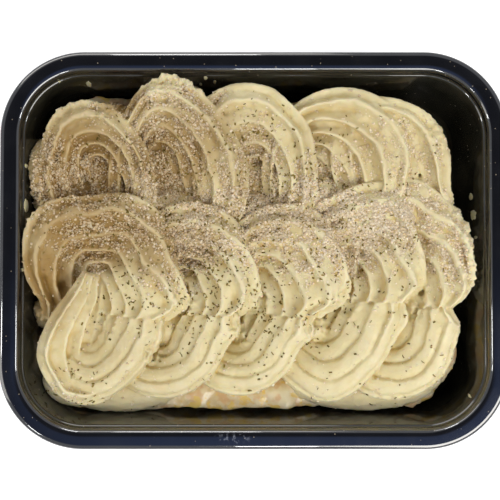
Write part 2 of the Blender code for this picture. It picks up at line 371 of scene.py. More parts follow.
def build_grain():
    """Two sizes of unevenness, mixed: a height for bumps and a blotchy mask for colours."""
    takes = {"Place": "Vector", "Coarse size": "Float", "Fine size": "Float", "Fine share": "Float"}
    group, given, out = new_group("grain", "ShaderNodeTree", takes, {"Height": "Float", "Blotches": "Float"})
    layers = []
    for label, detail in (("Coarse size", 3.0), ("Fine size", 2.0)):
        feeds = {"Vector": given["Place"], "Scale": over(group, 1.0, given[label]), "Detail": detail}
        layers.append(node(group, "ShaderNodeTexNoise", feeds).outputs["Fac"])
    group.links.new(between(group, given["Fine share"], *layers), out["Height"])
    group.links.new(ramp(group, layers[0], 0.35, 0.65), out["Blotches"])
    return group


GRAIN = build_grain()
print("grain group has %d nodes" % len(GRAIN.nodes))


def grain(tree, coarse, fine, fine_share):
    """Places the shared grain in a finish, with its own sizes."""
    feeds = {"Place": object_place(tree), "Coarse size": coarse, "Fine size": fine, "Fine share": fine_share}
    return node(tree, "ShaderNodeGroup", feeds, node_tree=GRAIN).outputs


def bumpy(tree, shader, height, depth, strength=1.0):
    """Feeds the shader's Normal from a height, for bumps about `depth` deep."""
    feeds = {"Height": height, "Distance": depth, "Strength": strength}
    tree.links.new(node(tree, "ShaderNodeBump", feeds).outputs["Normal"], shader.inputs["Normal"])


# %% Surroundings
def build_surroundings():
    """Pale all round, dark overhead, and bluish overhead towards the front."""
    world = bpy.data.worlds.new("surroundings")
    bpy.context.scene.world = world
    world.use_nodes = True
    tree = world.node_tree
    way = parts_of(tree, node(tree, "ShaderNodeTexCoord").outputs["Generated"])
    overhead = ramp(tree, way[2], 0.84, 0.96)
    to_front = ramp(tree, way[1], 0.06, -0.17)
    to_front = times(tree, to_front, ramp(tree, way[0], -0.3, -0.05, 0.25, 1.0))
    ceiling = colour_between(tree, to_front, (0.022, 0.022, 0.024), (0.095, 0.14, 0.29))
    sky = colour_between(tree, overhead, (0.40, 0.41, 0.43), ceiling)
    tree.links.new(sky, tree.nodes["Background"].inputs["Color"])


build_surroundings()


# %% Floor
FLOOR_RADIUS = 1.6
FLOOR_SIDES = 96


def build_floor():
    work = bmesh.new()
    bmesh.ops.create_circle(work, cap_ends=True, segments=FLOOR_SIDES, radius=FLOOR_RADIUS)
    finish, tree, shader = new_finish("white_floor", Roughness=0.85, Emission_Strength=0.6)
    shader.inputs["Emission Color"].default_value = (1, 1, 1, 1)
    uneven = grain(tree, 60 * MM, 2 * MM, 0.3)
    white = colour_between(tree, uneven["Blotches"], (0.93, 0.93, 0.93), (0.95, 0.95, 0.95))
    tree.links.new(white, shader.inputs["Base Color"])
    floor = add_piece("floor", mesh_of(work, "floor"))
    floor.data.materials.append(finish)


build_floor()
print("floor ready")

# %% [markdown]
# ## Tray
# The tray is pressed from one sheet of black plastic, so one section runs all the way round it:
# a turned-down lip, a flat rim, a bead, a small stacking step, a drafted wall and a floor. Its
# corners are rounded in the section as well as in the plan. A sweep along a rounded rectangle
# could be done with a curve and a bevel object, but rings joined with faces keep every corner
# radius exact, as each ring is a smaller rounded rectangle.
# %% The tray's section
TRAY_CORNER = 38 * MM
TRAY_FLAT = np.array([TRAY_HIGH.x, TRAY_HIGH.y]) - TRAY_CORNER
SHEET = 1.0 * MM
# How far an arc reaches from its corner, and at most which share of the straight beside it
ROUNDING = 1.3 * MM
CORNER_REACH = 0.45
# Distance in from the outer edge and height under the rim's flat, millimetres
TRAY_SECTION = [
    (0.0, -4.2), (0.0, -1.9), (0.5, -0.6), (1.8, 0.0), (6.4, 0.0), (8.2, -0.35), (9.2, -1.5),
    (9.6, -4.4), (10.8, -5.1), (16.6, -33.5), (18.3, -37.3), (22.0, -39.0),
]


def rounded_line(points, radius, steps=5):
    """The line through the points with each corner turned into an arc of about that radius."""
    line = [np.array(points[0], float)]
    for before, corner, after in zip(points, points[1:], points[2:]):
        before, corner, after = (np.array(p, float) for p in (before, corner, after))
        back, ahead = before - corner, after - corner
        reach = min(radius, CORNER_REACH * np.linalg.norm(back), CORNER_REACH * np.linalg.norm(ahead))
        start = corner + back / np.linalg.norm(back) * reach
        end = corner + ahead / np.linalg.norm(ahead) * reach
        for t in np.linspace(0, 1, steps):
            line.append((1 - t) ** 2 * start + 2 * t * (1 - t) * corner + t**2 * end)
    line.append(np.array(points[-1], float))
    return line


def sheet_under(line, thickness):
    """The same line on the other side of the sheet."""
    under = []
    for i, point in enumerate(line):
        along = line[min(i + 1, len(line) - 1)] - line[max(i - 1, 0)]
        along /= np.linalg.norm(along)
        under.append(point + np.array([along[1], -along[0]]) * thickness)
    return under


upper = rounded_line([(x * MM, RIM + z * MM) for x, z in TRAY_SECTION], ROUNDING)
lower = sheet_under(upper, SHEET)
lower[0] = np.array([SHEET, upper[0][1]])
lower[-1] = np.array([upper[-1][0], 0.0])
print("section of %d points" % len(upper))


# %% Rings of the tray
# Steps round a corner, the border round the face that closes each end, and from which angle on an
# edge looks sharp
CORNER_STEPS = 28
END_BORDER = 0.5 * MM
SHARP_FROM = math.radians(50)


def tray_ring(inset, height):
    """A rounded rectangle that lies `inset` inside the tray's outer edge."""
    radius = TRAY_CORNER - inset
    ring = []
    for corner, (sx, sy) in enumerate([(1, 1), (-1, 1), (-1, -1), (1, -1)]):
        for step in range(CORNER_STEPS + 1):
            angle = math.radians(90 * (corner + step / CORNER_STEPS))
            x = sx * TRAY_FLAT[0] + radius * math.cos(angle)
            y = sy * TRAY_FLAT[1] + radius * math.sin(angle)
            ring.append((x, y, height))
    return ring


def through_rings(rings, name):
    """A closed mesh through rings of equal length, with a face over each end."""
    work = bmesh.new()
    rows = [[work.verts.new(point) for point in ring] for ring in rings]
    for near, far in zip(rows, rows[1:]):
        for i in range(len(near)):
            j = (i + 1) % len(near)
            work.faces.new((near[i], near[j], far[j], far[i]))
    ends = [work.faces.new(list(reversed(rows[0]))), work.faces.new(rows[-1])]
    bmesh.ops.recalc_face_normals(work, faces=work.faces)
    bmesh.ops.inset_region(work, faces=ends, thickness=END_BORDER)
    return mesh_of(work, name)


tray_mesh = through_rings([tray_ring(*point) for point in [*reversed(lower), *upper]], "tray")
tray_mesh.shade_smooth()
tray_mesh.set_sharp_from_angle(angle=SHARP_FROM)
print("tray %d triangles" % triangles(tray_mesh))


# %% [markdown]
# The plastic is almost black and glossy. The rim is painted with a trace of blue, for the bluish
# light it mirrors, and the wall a dark olive, brighter in blotches, for the mash it mirrors. Its gloss
# isn't even: there is a fine ripple from the mould, specks of crumb dust and a pale grainy patch on
# the rim at the front. One even gloss would look like glass, so masks made from noise and from the
# height over the foot mix the colours and the roughness.
# %% Tray finish
SPECK_SPACING = 2.0 * MM
SPECK_SHADE = 0.7
# A pale bluish-grey grainy patch on the rim at the front: its middle, half sizes, grain and strength
PALE_PATCH_MIDDLE = (-9 * MM, -83.5 * MM, RIM)
PALE_PATCH_HALF_SIZES = (10 * MM, 3.5 * MM, 4 * MM)
PALE_PATCH_GRAIN = 1.6 * MM
PALE_PATCH_STRENGTH = 0.45


def dust_specks(tree, place):
    """A mask for small round specks, in a few cells of a Voronoi pattern."""
    cells = node(tree, "ShaderNodeTexVoronoi", {"Vector": place, "Scale": 1 / SPECK_SPACING}).outputs
    chosen = ramp(tree, red_of(tree, cells["Color"]), 0.84, 0.9)
    return times(tree, ramp(tree, cells["Distance"], 0.17, 0.09), chosen)


def pale_patch_mask(tree, place):
    """A mask for the pale patch: grainy, and fading out towards its edge."""
    away = vector_calc(tree, "DIVIDE", vector_calc(tree, "SUBTRACT", place, PALE_PATCH_MIDDLE), PALE_PATCH_HALF_SIZES)
    grains = ramp(tree, noise(tree, place, PALE_PATCH_GRAIN, 3.0), 0.5, 0.66)
    return times(tree, ramp(tree, length_of(tree, away), 1.0, 0.3), grains, PALE_PATCH_STRENGTH)


def build_tray_finish():
    finish, tree, shader = new_finish(
        "black_tray", Specular_IOR_Level=0.35, Coat_Weight=1.0, Coat_Roughness=0.03,
    )
    place = object_place(tree)
    uneven = grain(tree, 14 * MM, 0.5 * MM, 0.25)
    on_wall = ramp(tree, parts_of(tree, place)[2], RIM - 2 * MM, RIM - 7 * MM)
    dust = dust_specks(tree, place)
    # Painted reflections: a trace of blue on the rim for the bluish light it mirrors, and on the wall an
    # olive tint, brighter in blotches, for the mash it mirrors.
    plastic_and_painted_reflections = colour_between(tree, on_wall, (0.0045, 0.0050, 0.0075), (0.009, 0.009, 0.0065))
    blotchy_painted_reflection = times(tree, uneven["Blotches"], on_wall)
    blotched = colour_between(tree, blotchy_painted_reflection, plastic_and_painted_reflections, (0.018, 0.017, 0.012))
    dusty = colour_between(tree, times(tree, dust, SPECK_SHADE), blotched, (0.34, 0.28, 0.19))
    # The pale bluish-grey patch is painted over the rim at the front.
    with_pale_patch = colour_between(tree, pale_patch_mask(tree, place), dusty, (0.30, 0.32, 0.37))
    tree.links.new(with_pale_patch, shader.inputs["Base Color"])
    tree.links.new(between(tree, on_wall, 2.2, 1.4), shader.inputs["Coat IOR"])
    gloss = between(tree, uneven["Blotches"], 0.16, 0.26)
    tree.links.new(plus(tree, gloss, times(tree, dust, 0.5)), shader.inputs["Roughness"])
    bumpy(tree, shader, uneven["Height"], 0.12 * MM, 0.35)
    return finish


tray_mesh.materials.append(build_tray_finish())
tray = add_piece("black_tray", tray_mesh)
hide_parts("tray")
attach(tray, "root")
print("tray placed")


# %% [markdown]
# ## Piped mash
# The mash is piped through a star nozzle in two rows of loops, from right to left, and each loop
# lies on its right-hand neighbour. The nozzle's teeth leave ridges that run along the rope: thin
# crests with wide hollows where the rope arches over at the back, broad bands with thin creases
# where it comes round at the front.
#
# A rope like this follows a rule, so Geometry Nodes make it: a grid is laid along the rope's path
# and round its section, and pushed in between the ridges. Sculpting could give the same shape, but
# then neither the number of ridges nor their depth could be changed.
# %% Paths of the loops
# One loop: the middle of its slit, the slit's half length vector, the half width of its hollow, the
# notch under its torn tip (degrees and depth), and how far the rope's outer edge lies from the
# middle, for the twelve hours of a clock from three o'clock towards noon. Millimetres from the
# tray's centre, in the order of piping.
NO_NOTCH = (0, 0)
BACK_ROW = [
    ((68, 28), (-9, 18), 1.4, NO_NOTCH,
     (20.8, 23.5, 31, 38.7, 45, 40, 32, 28, 26, 30, 30, 26)),
    ((33, 29), (-8.5, 7), 1.8, NO_NOTCH,
     (40.5, 47, 46.5, 44, 38, 33, 30, 28, 27, 28, 31, 35)),
    ((1.1, 23.3), (-0.7, 11.1), 2.6, NO_NOTCH,
     (27.5, 32, 42.5, 52, 50.5, 35, 28.5, 26.5, 26.5, 26, 26.5, 27)),
    ((-39.4, 29.5), (-3.2, 11), 3.6, NO_NOTCH,
     (38, 38.5, 42.5, 50, 38.5, 30, 27.5, 28.5, 29.5, 30.5, 33.5, 38)),
    ((-67, 28), (-3.6, 9), 1.8, NO_NOTCH,
     (24, 25, 29, 38, 41.5, 34, 31.5, 32, 33, 34, 31, 26)),
]
FRONT_ROW = [
    ((64.4, -24), (3.5, 11), 1.4, (-6, 5),
     (30.5, 40.5, 50.5, 58.5, 45.5, 30, 25, 31, 42.5, 44, 39, 31)),
    ((35.4, -21.8), (6, 10), 1.8, (-4, 6),
     (40.5, 47, 58.5, 48, 38, 33, 32, 35.5, 43.5, 47, 38.5, 34)),
    ((-4.9, -26.2), (4.5, 12), 1.8, (-8, 8.5),
     (46.5, 52.5, 54, 41, 30, 26, 26.5, 32, 39, 40, 36, 32.5)),
    ((-38.1, -27.6), (5, 12), 1.8, (-5, 6.5),
     (40.5, 46, 52, 48.5, 34.5, 29, 30, 35.5, 40, 39.5, 35.5, 31.5)),
    ((-73, -25), (2, 12.5), 1.8, (-12, 6),
     (44.4, 43.9, 54.4, 50, 51, 36.6, 23.6, 28.6, 35.6, 43, 38.5, 36)),
]
# Degrees where the rope starts and ends on a loop, its crest over the rim, how much that tilts, and
# towards which side it is high
BACK_PIPING = dict(start=200, end=-40, level=-1.0, tilt=8.0, high_side=60)
BACK_LAST = dict(BACK_PIPING, level=0.5, tilt=5.0, high_side=75)
FRONT_PIPING = dict(start=215, end=-150, level=-1.0, tilt=9.0, high_side=15)
FRONT_LAST = dict(start=198, end=-118, level=2.0, tilt=5.0, high_side=40)
# The end of the piping runs back up over the last loop: left edge, right edge, crest over the rim
TAIL = [
    ((-64.0, -67.0), (-70.0, -50.0), -3.5),
    ((-74.5, -70.0), (-74.5, -52.0), 0.5),
    ((-88.0, -65.0), (-75.0, -53.5), 2.5),
    ((-97.5, -48.0), (-74.5, -45.5), 4.0),
    ((-92.0, -31.0), (-71.5, -35.0), 5.5),
    ((-83.0, -18.5), (-68.5, -24.0), 5.5),
    ((-76.0, -9.0), (-68.5, -12.0), 4.0),
]
# How bluntly a slit ends, how many degrees a notch takes up, and the length of a slice
SLIT_STRETCH = 1.25
NOTCH_WIDTH = 9
SLICE = 0.7 * MM
# Degrees below three o'clock where the thin crests give way to broad bands, and how gradually
ARCH_ENDS = 20
ARCH_EASES = 26
# Degrees from where the arch rises towards its torn tip and its ridges run out over the edge, how
# many run out, and the rise in millimetres; at the tip it breaks off
FAN_FROM = 70
FAN_RIDGES = 1.4
FAN_LIFT = 0.7
# How much of an arch the tail is
TAIL_ARCH = 0.85


def smooth(values, place):
    """A Catmull-Rom curve through values at whole-number places, read at one place."""
    step = math.floor(place)
    f = place - step
    p0, p1, p2, p3 = (np.array(values(step + k), float) for k in (-1, 0, 1, 2))
    return 0.5 * (
        2 * p1 + (p2 - p0) * f + (2 * p0 - 5 * p1 + 4 * p2 - p3) * f**2 + (3 * p1 - p0 - 3 * p2 + p3) * f**3
    )


def fan_share(degrees, tip):
    """0 on top of the arch, easing to 1 at its torn tip and 0 again past it."""
    if degrees < tip:
        return 0.0
    share = min(1.0, max(0.0, (FAN_FROM - degrees) / (FAN_FROM - tip)))
    return share * share * (3 - 2 * share)


def loop_path(loop, start, end, level, tilt, high_side):
    """Outer edge, inner edge, notch, share of arch and fan of a loop, slice by slice, clockwise."""
    middle, slit, hollow, (notch_way, notch_depth), reach = loop
    outer, inner, notch, arch, fan = [], [], [], [], []
    slices = round(math.radians(start - end) * np.mean(reach) * MM / SLICE)
    for degrees in np.linspace(start, end, slices):
        angle = math.radians(degrees)
        way = np.array([math.cos(angle), math.sin(angle)])
        far = smooth(lambda hour: reach[hour % 12], degrees / 30)
        pulled_in = notch_depth * math.exp(-(((degrees - notch_way) / NOTCH_WIDTH) ** 2))
        slit_place = np.array(slit) * max(-1.0, min(1.0, SLIT_STRETCH * math.sin(angle)))
        fanned = fan_share(degrees, notch_way) if notch_depth else 0.0
        crest = RIM + (level + tilt * math.cos(math.radians(degrees - high_side)) + FAN_LIFT * fanned) * MM
        outer.append((*(np.array(middle) + way * far) * MM, crest))
        inner.append((*(np.array(middle) + slit_place + way * hollow) * MM, crest))
        notch.append((*(-way * pulled_in * MM), 0))
        arch.append(0.5 + 0.5 * math.tanh((degrees + ARCH_ENDS) / ARCH_EASES))
        fan.append(FAN_RIDGES * fanned)
    return np.array(outer), np.array(inner), np.array(notch), np.array(arch), np.array(fan)


def tail_path(slices=120):
    """The same for the tail, which has no notch and no fan."""
    rows = [np.array([*left, *right, crest]) for left, right, crest in TAIL]
    rows = [2 * rows[0] - rows[1]] + rows + [2 * rows[-1] - rows[-2]]
    places = np.linspace(1, len(TAIL), slices)
    lines = np.array([smooth(lambda i: rows[min(i, len(rows) - 1)], place) for place in places]) * MM
    crest = RIM + lines[:, 4:5]
    left, right = np.hstack([lines[:, 0:2], crest]), np.hstack([lines[:, 2:4], crest])
    return left, right, np.zeros((slices, 3)), np.full(slices, TAIL_ARCH), np.zeros(slices)


back_paths = [loop_path(loop, **BACK_PIPING) for loop in BACK_ROW[:-1]]
back_paths.append(loop_path(BACK_ROW[-1], **BACK_LAST))
front_paths = [loop_path(loop, **FRONT_PIPING) for loop in FRONT_ROW[:-1]]
front_paths += [loop_path(FRONT_ROW[-1], **FRONT_LAST), tail_path()]
print("%d ropes at the back, %d at the front" % (len(back_paths), len(front_paths)))


# %% [markdown]
# ### The rope tree
# The path comes in as a line of points, one for each slice of rope. A point lies on the rope's outer
# edge, at the height of the crest there, and carries the matching point of the inner edge. Two
# curves give the section: how far across it is, and how high, for each share of the way round. The
# first and last slice shrink to a point, which closes the ends.
# %% The rope's section
# The share of the way round that is the top, where the underside starts after it and ends before it,
# the share of the width that a notch cuts into, how far the rope goes into what is under it, and how
# far below the crest its ends close
TOP_SHARE = 0.8
UNDER_STARTS = (TOP_SHARE + 0.005, TOP_SHARE + 0.01)
UNDER_ENDS = (0.004, 0.002)
NOTCH_REACH = 0.75
ROPE_FOOT = 3 * MM
END_DROP = 12 * MM
ACROSS = [(0.0, 0.06), (0.1, 0.015), (0.2, 0.0), (0.27, 0.02), (0.34, 0.075), (0.41, 0.18), (0.48, 0.32),
          (0.58, 0.53), (0.68, 0.76), (0.76, 0.93), (0.8, 1.0), (0.9, 0.53), (1.0, 0.06)]
HEIGHT = [(0.0, 0.0), (0.1, 0.3), (0.2, 0.57), (0.27, 0.78), (0.34, 0.93), (0.41, 0.99), (0.48, 0.985),
          (0.58, 0.86), (0.68, 0.66), (0.76, 0.48), (0.8, 0.38), (0.9, 0.0), (1.0, 0.0)]
# One ridge and the hollow beside it, from crest to crest, going towards the slit
THIN_CRESTS = [(0.0, 1.0), (0.07, 0.92), (0.15, 0.66), (0.26, 0.2), (0.36, 0.0), (0.5, 0.03), (0.7, 0.28),
               (0.86, 0.66), (0.95, 0.94), (1.0, 1.0)]
THIN_CREASES = [(0.0, 1.0), (0.07, 0.85), (0.14, 0.1), (0.18, 0.0), (0.25, 0.38), (0.42, 0.76), (0.7, 0.97),
                (1.0, 1.0)]
# How many of the ridges lie below each share of the section: they draw closer towards the slit
RIDGE_SPREAD = [(0.0, 0.0), (0.12, 0.05), (0.36, 0.2), (0.56, 0.36), (0.71, 0.52), (0.82, 0.68), (0.91, 0.84),
                (1.0, 1.0)]
EDGE_RIDGE = 0.2
# Sizes of the noise that makes the ridges wander and that makes them uneven, and what is melted shut
WANDER_SIZE = 26 * MM
UNEVEN_SIZE = 15 * MM
SHUT_WITHIN = 0.002 * MM


# %% Rope tree
def build_rope_tree():
    tree, given, out = shape_tree(
        "piped_rope", steps_round=("Int", 190), foot=("Float", 0.02), ridges=("Float", 5.0),
        ridge_depth=("Float", 0.003), wobble=("Float", 1.0), seed=("Float", 0.0), finish=("Material", None),
    )
    path, steps = given["Geometry"], given["Steps round"]
    slices = node(tree, "GeometryNodeAttributeDomainSize", {0: path}).outputs["Point Count"]
    sheet = node(tree, "GeometryNodeMeshGrid", {"Vertices X": slices, "Vertices Y": steps}).outputs["Mesh"]
    index = node(tree, "GeometryNodeInputIndex").outputs[0]
    slice_index = calc(tree, "FLOOR", over(tree, plus(tree, index, 0.5), steps))
    step_index = minus(tree, index, times(tree, slice_index, steps))
    around = over(tree, step_index, minus(tree, steps, 1.0))

    def at_slice(value, kind):
        feeds = {"Geometry": path, "Value": value, "Index": slice_index}
        return node(tree, "GeometryNodeSampleIndex", feeds, data_type=kind).outputs[0]

    outer = at_slice(surface_place(tree), "FLOAT_VECTOR")
    inner = at_slice(noted(tree, "inner_edge", "FLOAT_VECTOR"), "FLOAT_VECTOR")
    notch = at_slice(noted(tree, "notch", "FLOAT_VECTOR"), "FLOAT_VECTOR")
    arch, fan = (at_slice(noted(tree, name), "FLOAT") for name in ("arch", "fan"))

    # The section, drawn between the two edges
    across = profile(tree, around, ACROSS)
    pulled_in = scaled(tree, notch, ramp(tree, across, NOTCH_REACH, 0.0))
    flat_place = vector_calc(tree, "ADD", place_between(tree, across, outer, inner), pulled_in)
    parts = parts_of(tree, flat_place)
    top_height = between(tree, profile(tree, around, HEIGHT), given["Foot"], parts[2])
    is_under = plus(tree, ramp(tree, around, *UNDER_STARTS), ramp(tree, around, *UNDER_ENDS))
    lowest = minus(tree, given["Foot"], ROPE_FOOT)
    height = between(tree, is_under, top_height, lowest)
    place = node(tree, "ShaderNodeCombineXYZ", {0: parts[0], 1: parts[1], 2: height}).outputs[0]

    # The end slices shrink to a point
    is_first = calc(tree, "LESS_THAN", slice_index, 0.5)
    is_end = plus(tree, is_first, calc(tree, "GREATER_THAN", slice_index, minus(tree, slices, 1.5)))
    heart = vector_calc(tree, "SUBTRACT", place_between(tree, 0.5, outer, inner), (0, 0, END_DROP))
    place = place_between(tree, is_end, place, heart)
    sheet = node(tree, "GeometryNodeSetPosition", {"Geometry": sheet, "Position": place}).outputs[0]
    sheet = node(tree, "GeometryNodeFlipFaces", {"Mesh": sheet}).outputs[0]

    # Ridges: the skin goes in between the crests, less so towards the foot
    where = vector_calc(tree, "ADD", place, upwards(tree, given["Seed"]))
    drift = minus(tree, noise(tree, where, WANDER_SIZE, 3.0), 0.5)
    share = over(tree, around, TOP_SHARE)
    past_edge = minus(tree, profile(tree, share, RIDGE_SPREAD), EDGE_RIDGE)
    turns = times(tree, over(tree, past_edge, 1.0 - EDGE_RIDGE), given["Ridges"])
    turns = plus(tree, turns, times(tree, drift, given["Wobble"]), fan)
    in_ridge = calc(tree, "FRACT", turns)
    crest = between(tree, arch, profile(tree, in_ridge, THIN_CREASES), profile(tree, in_ridge, THIN_CRESTS))
    fade = times(tree, ramp(tree, share, 0.0, 0.1), ramp(tree, share, 1.0, 0.93))
    uneven = ramp(tree, noise(tree, where, UNEVEN_SIZE, 2.0), 0.3, 0.7, 0.45, 1.25)
    deeper_on_arch = between(tree, arch, 0.5, 1.0)
    depth = times(tree, given["Ridge depth"], uneven, fade, deeper_on_arch, minus(tree, 1.0, is_end))
    sink = times(tree, minus(tree, crest, 1.0), depth)
    sheet = pushed(tree, sheet, scaled(tree, surface_normal(tree), sink))
    sheet = node(tree, "GeometryNodeMergeByDistance", {"Geometry": sheet, "Distance": SHUT_WITHIN}).outputs[0]
    finish_tree(tree, sheet, out, given["Finish"])
    return tree


ROPE = build_rope_tree()
print("rope tree has %d nodes" % len(ROPE.nodes))


# %% Piping one rope
# How far apart the ridges of a row are, and how deep; the fewest on a rope; and how far apart in the
# noise two ropes lie
RIDGES = {"back": (5.6 * MM, 4.4 * MM), "front": (6.4 * MM, 4.2 * MM)}
FEWEST_RIDGES = 4
SEED_STEP = 0.37


def path_object(path):
    """A line of points that carries the rest of the path as notes."""
    outer, inner, notch, arch, fan = path
    mesh = bpy.data.meshes.new("path")
    mesh.from_pydata(outer.tolist(), [(i, i + 1) for i in range(len(outer) - 1)], [])
    for name, places in (("inner_edge", inner), ("notch", notch)):
        mesh.attributes.new(name, "FLOAT_VECTOR", "POINT").data.foreach_set("vector", places.ravel())
    for name, shares in (("arch", arch), ("fan", fan)):
        mesh.attributes.new(name, "FLOAT", "POINT").data.foreach_set("value", shares)
    return add_piece("path", mesh)


def pipe_rope(path, number, row, finish):
    """The mesh of one rope, with as many ridges as fit across it."""
    width = np.linalg.norm(path[0][:, :2] - path[1][:, :2], axis=1).mean()
    pitch, depth = RIDGES[row]
    ridges = float(max(FEWEST_RIDGES, round(width / pitch)))
    line = path_object(path)
    mesh = grow(
        line, ROPE, foot=MASH_FOOT, ridges=ridges, ridge_depth=depth, seed=number * SEED_STEP, finish=finish,
    )
    bpy.data.objects.remove(line)
    return mesh


# %% [markdown]
# ### Melting the ropes together
# Fresh ropes of mash merge where they touch. Joining the meshes would leave walls inside, and a
# Boolean is slow and fragile on a dozen ridged bodies. A voxel remesh keeps just the outer skin of
# all of them at once, and thinning then spends its faces where the surface bends.
# %% What lies under the ropes
# The block of mash under a row: its length, how far it reaches from the middle, and its top. Then how
# far the mash stays off the wall, and how many triangles a row keeps
CORE_LENGTH = 165 * MM
CORE_REACH = 54 * MM
CORE_TOP = {"back": 29 * MM, "front": 26 * MM}
MASH_GAP = 0.3 * MM
MOST_TRIANGLES = {"back": 175000, "front": 195000}
# Mounds between the ropes and spread out under them, in millimetres: the middle's two places, the
# two half sizes, and the top over the rim
BACK_FILL = [
    (-42, 19, 26, 10, -4), (-2, 17, 18, 11, -4), (27, 24, 17, 13, -2.5), (62, 21, 20, 12, -5),
    (-67, 60, 13, 8.5, -3), (-88, 24, 16, 12, -6), (-97, 36, 8.5, 16, -3.5), (76, 25, 10, 14, 1),
]
FRONT_FILL = [
    (-62, -59, 33, 15.5, -14.5), (-82, -60, 16, 12, -13), (50, -58, 37, 16, -14.5),
    (-92, -28, 10, 9, -7), (-40, -36, 7, 9, -7), (72, -24, 8, 11, -3), (29, -36, 7, 8, -8),
]
VOXEL = 0.6 * MM


def wall_inset(height):
    """How far in from the outer edge the tray's wall is, at a height over its foot."""
    wall = [(RIM + z * MM, x * MM) for x, z in reversed(TRAY_SECTION) if x > 9]
    return np.interp(height, [p[0] for p in wall], [p[1] for p in wall])


def keep_inside_wall(mesh, gap):
    """Moves points that would be in the tray's wall or rim back inside, to a gap from it."""
    places = np.zeros(len(mesh.vertices) * 3)
    mesh.vertices.foreach_get("co", places)
    places = places.reshape(-1, 3)
    radius = TRAY_CORNER - wall_inset(places[:, 2]) - gap
    past = np.maximum(0, np.abs(places[:, :2]) - TRAY_FLAT)
    distance = np.hypot(past[:, 0], past[:, 1])
    out = (distance > radius) & (places[:, 2] < RIM + gap)
    share = np.where(out, radius / np.maximum(distance, 1e-9), 1.0)
    moved = np.sign(places[:, :2]) * (TRAY_FLAT + past * share[:, None])
    places[:, :2] = np.where(out[:, None] & (past > 0), moved, places[:, :2])
    mesh.vertices.foreach_set("co", places.ravel())


# %% Melted rows
def core_mesh(top, side, fill):
    """A block under the row, on one side of the middle, with the mounds on it."""
    work = bmesh.new()
    for vert in bmesh.ops.create_cube(work, size=1.0)["verts"]:
        vert.co.x *= CORE_LENGTH
        vert.co.y = side * (CORE_REACH if vert.co.y * side > 0 else 0)
        vert.co.z = top if vert.co.z > 0 else MASH_FOOT - ROPE_FOOT
    for x, y, half_x, half_y, crest in fill:
        for vert in bmesh.ops.create_uvsphere(work, u_segments=48, v_segments=24, radius=1.0)["verts"]:
            vert.co.x = (x + vert.co.x * half_x) * MM
            vert.co.y = (y + vert.co.y * half_y) * MM
            vert.co.z = MASH_FOOT + vert.co.z * (RIM + crest * MM - MASH_FOOT)
            vert.co.z = max(vert.co.z, MASH_FOOT - ROPE_FOOT)
    return mesh_of(work, "core")


def melt_row(row, paths, core, finish):
    """Pipes a row of ropes and melts it with its core into one closed mesh."""
    bodies = [add_piece("rope", pipe_rope(path, number, row, finish)) for number, path in enumerate(paths)]
    bodies.append(add_piece("core", core))
    ropes = bodies[0]
    with bpy.context.temp_override(active_object=ropes, selected_editable_objects=bodies):
        bpy.ops.object.join()
    ropes.data = melted(ropes, VOXEL)
    before = triangles(ropes.data)
    thin = ropes.modifiers.new("thin", "DECIMATE")
    thin.ratio = min(1.0, MOST_TRIANGLES[row] / before)
    thinned = plain_mesh(ropes)
    bpy.data.objects.remove(ropes)
    keep_inside_wall(thinned, MASH_GAP)
    print("%s row: %d triangles melted, %d kept" % (row, before, triangles(thinned)))
    return thinned


# %% [markdown]
# ### The mash's skin
# The melted rows still need what no nozzle leaves: small lumps, torn edges where the rope was
# pulled, and the fine relief of crumbs pressed into them. They could be sculpted, but a second tree
# does it evenly. It also notes four things on the surface, for the finish and for the strewing: how
# deep in a hollow a point lies, how thick the crumbs are, how much shade is painted on it and how
# torn. Hollows come from comparing each point with a blurred copy of the surface.
# %% Places
# Where the pie is crumbed, where shade is painted on it, where it is torn and where it is strewn
# with herbs. Oval places, in millimetres from the tray's centre: the middle's two places, the two
# half sizes, and the strength
CRUMBED = [
    (-68, 28, 27, 24, 0.85), (-95, 34, 10, 22, 1), (-44, 30, 20, 20, 1), (-36, 50, 28, 24, 0.75),
    (-2, 37, 20, 27, 0.75), (-4, 22, 68, 13, 1), (54, 12, 40, 21, 1.1), (-62, 13, 42, 17, 0.8),
    (-27, 5, 23, 20, 1), (10, 8, 32, 17, 0.95), (44, 2, 28, 18, 1), (86, 4, 18, 26, 0.8),
    (38, 36, 22, 13, 0.65), (76, 40, 12, 17, 0.35), (-46, 66, 26, 12, 0.75), (-76, -2, 16, 12, 0.6),
    (-38, -12, 14, 10, 0.5), (20, -6, 14, 10, 0.7), (-28, 70, 20, 10, 0.7), (-90, -66, 20, 8, 0.5),
    (-64, 66, 15, 10, 0.7), (62, 44, 26, 20, 0.35), (-80, 32, 11, 20, 1.2), (30, 24, 24, 12, 1.2),
    (2, 21, 26, 10, 1.15), (52, 14, 26, 16, 1.2),
]
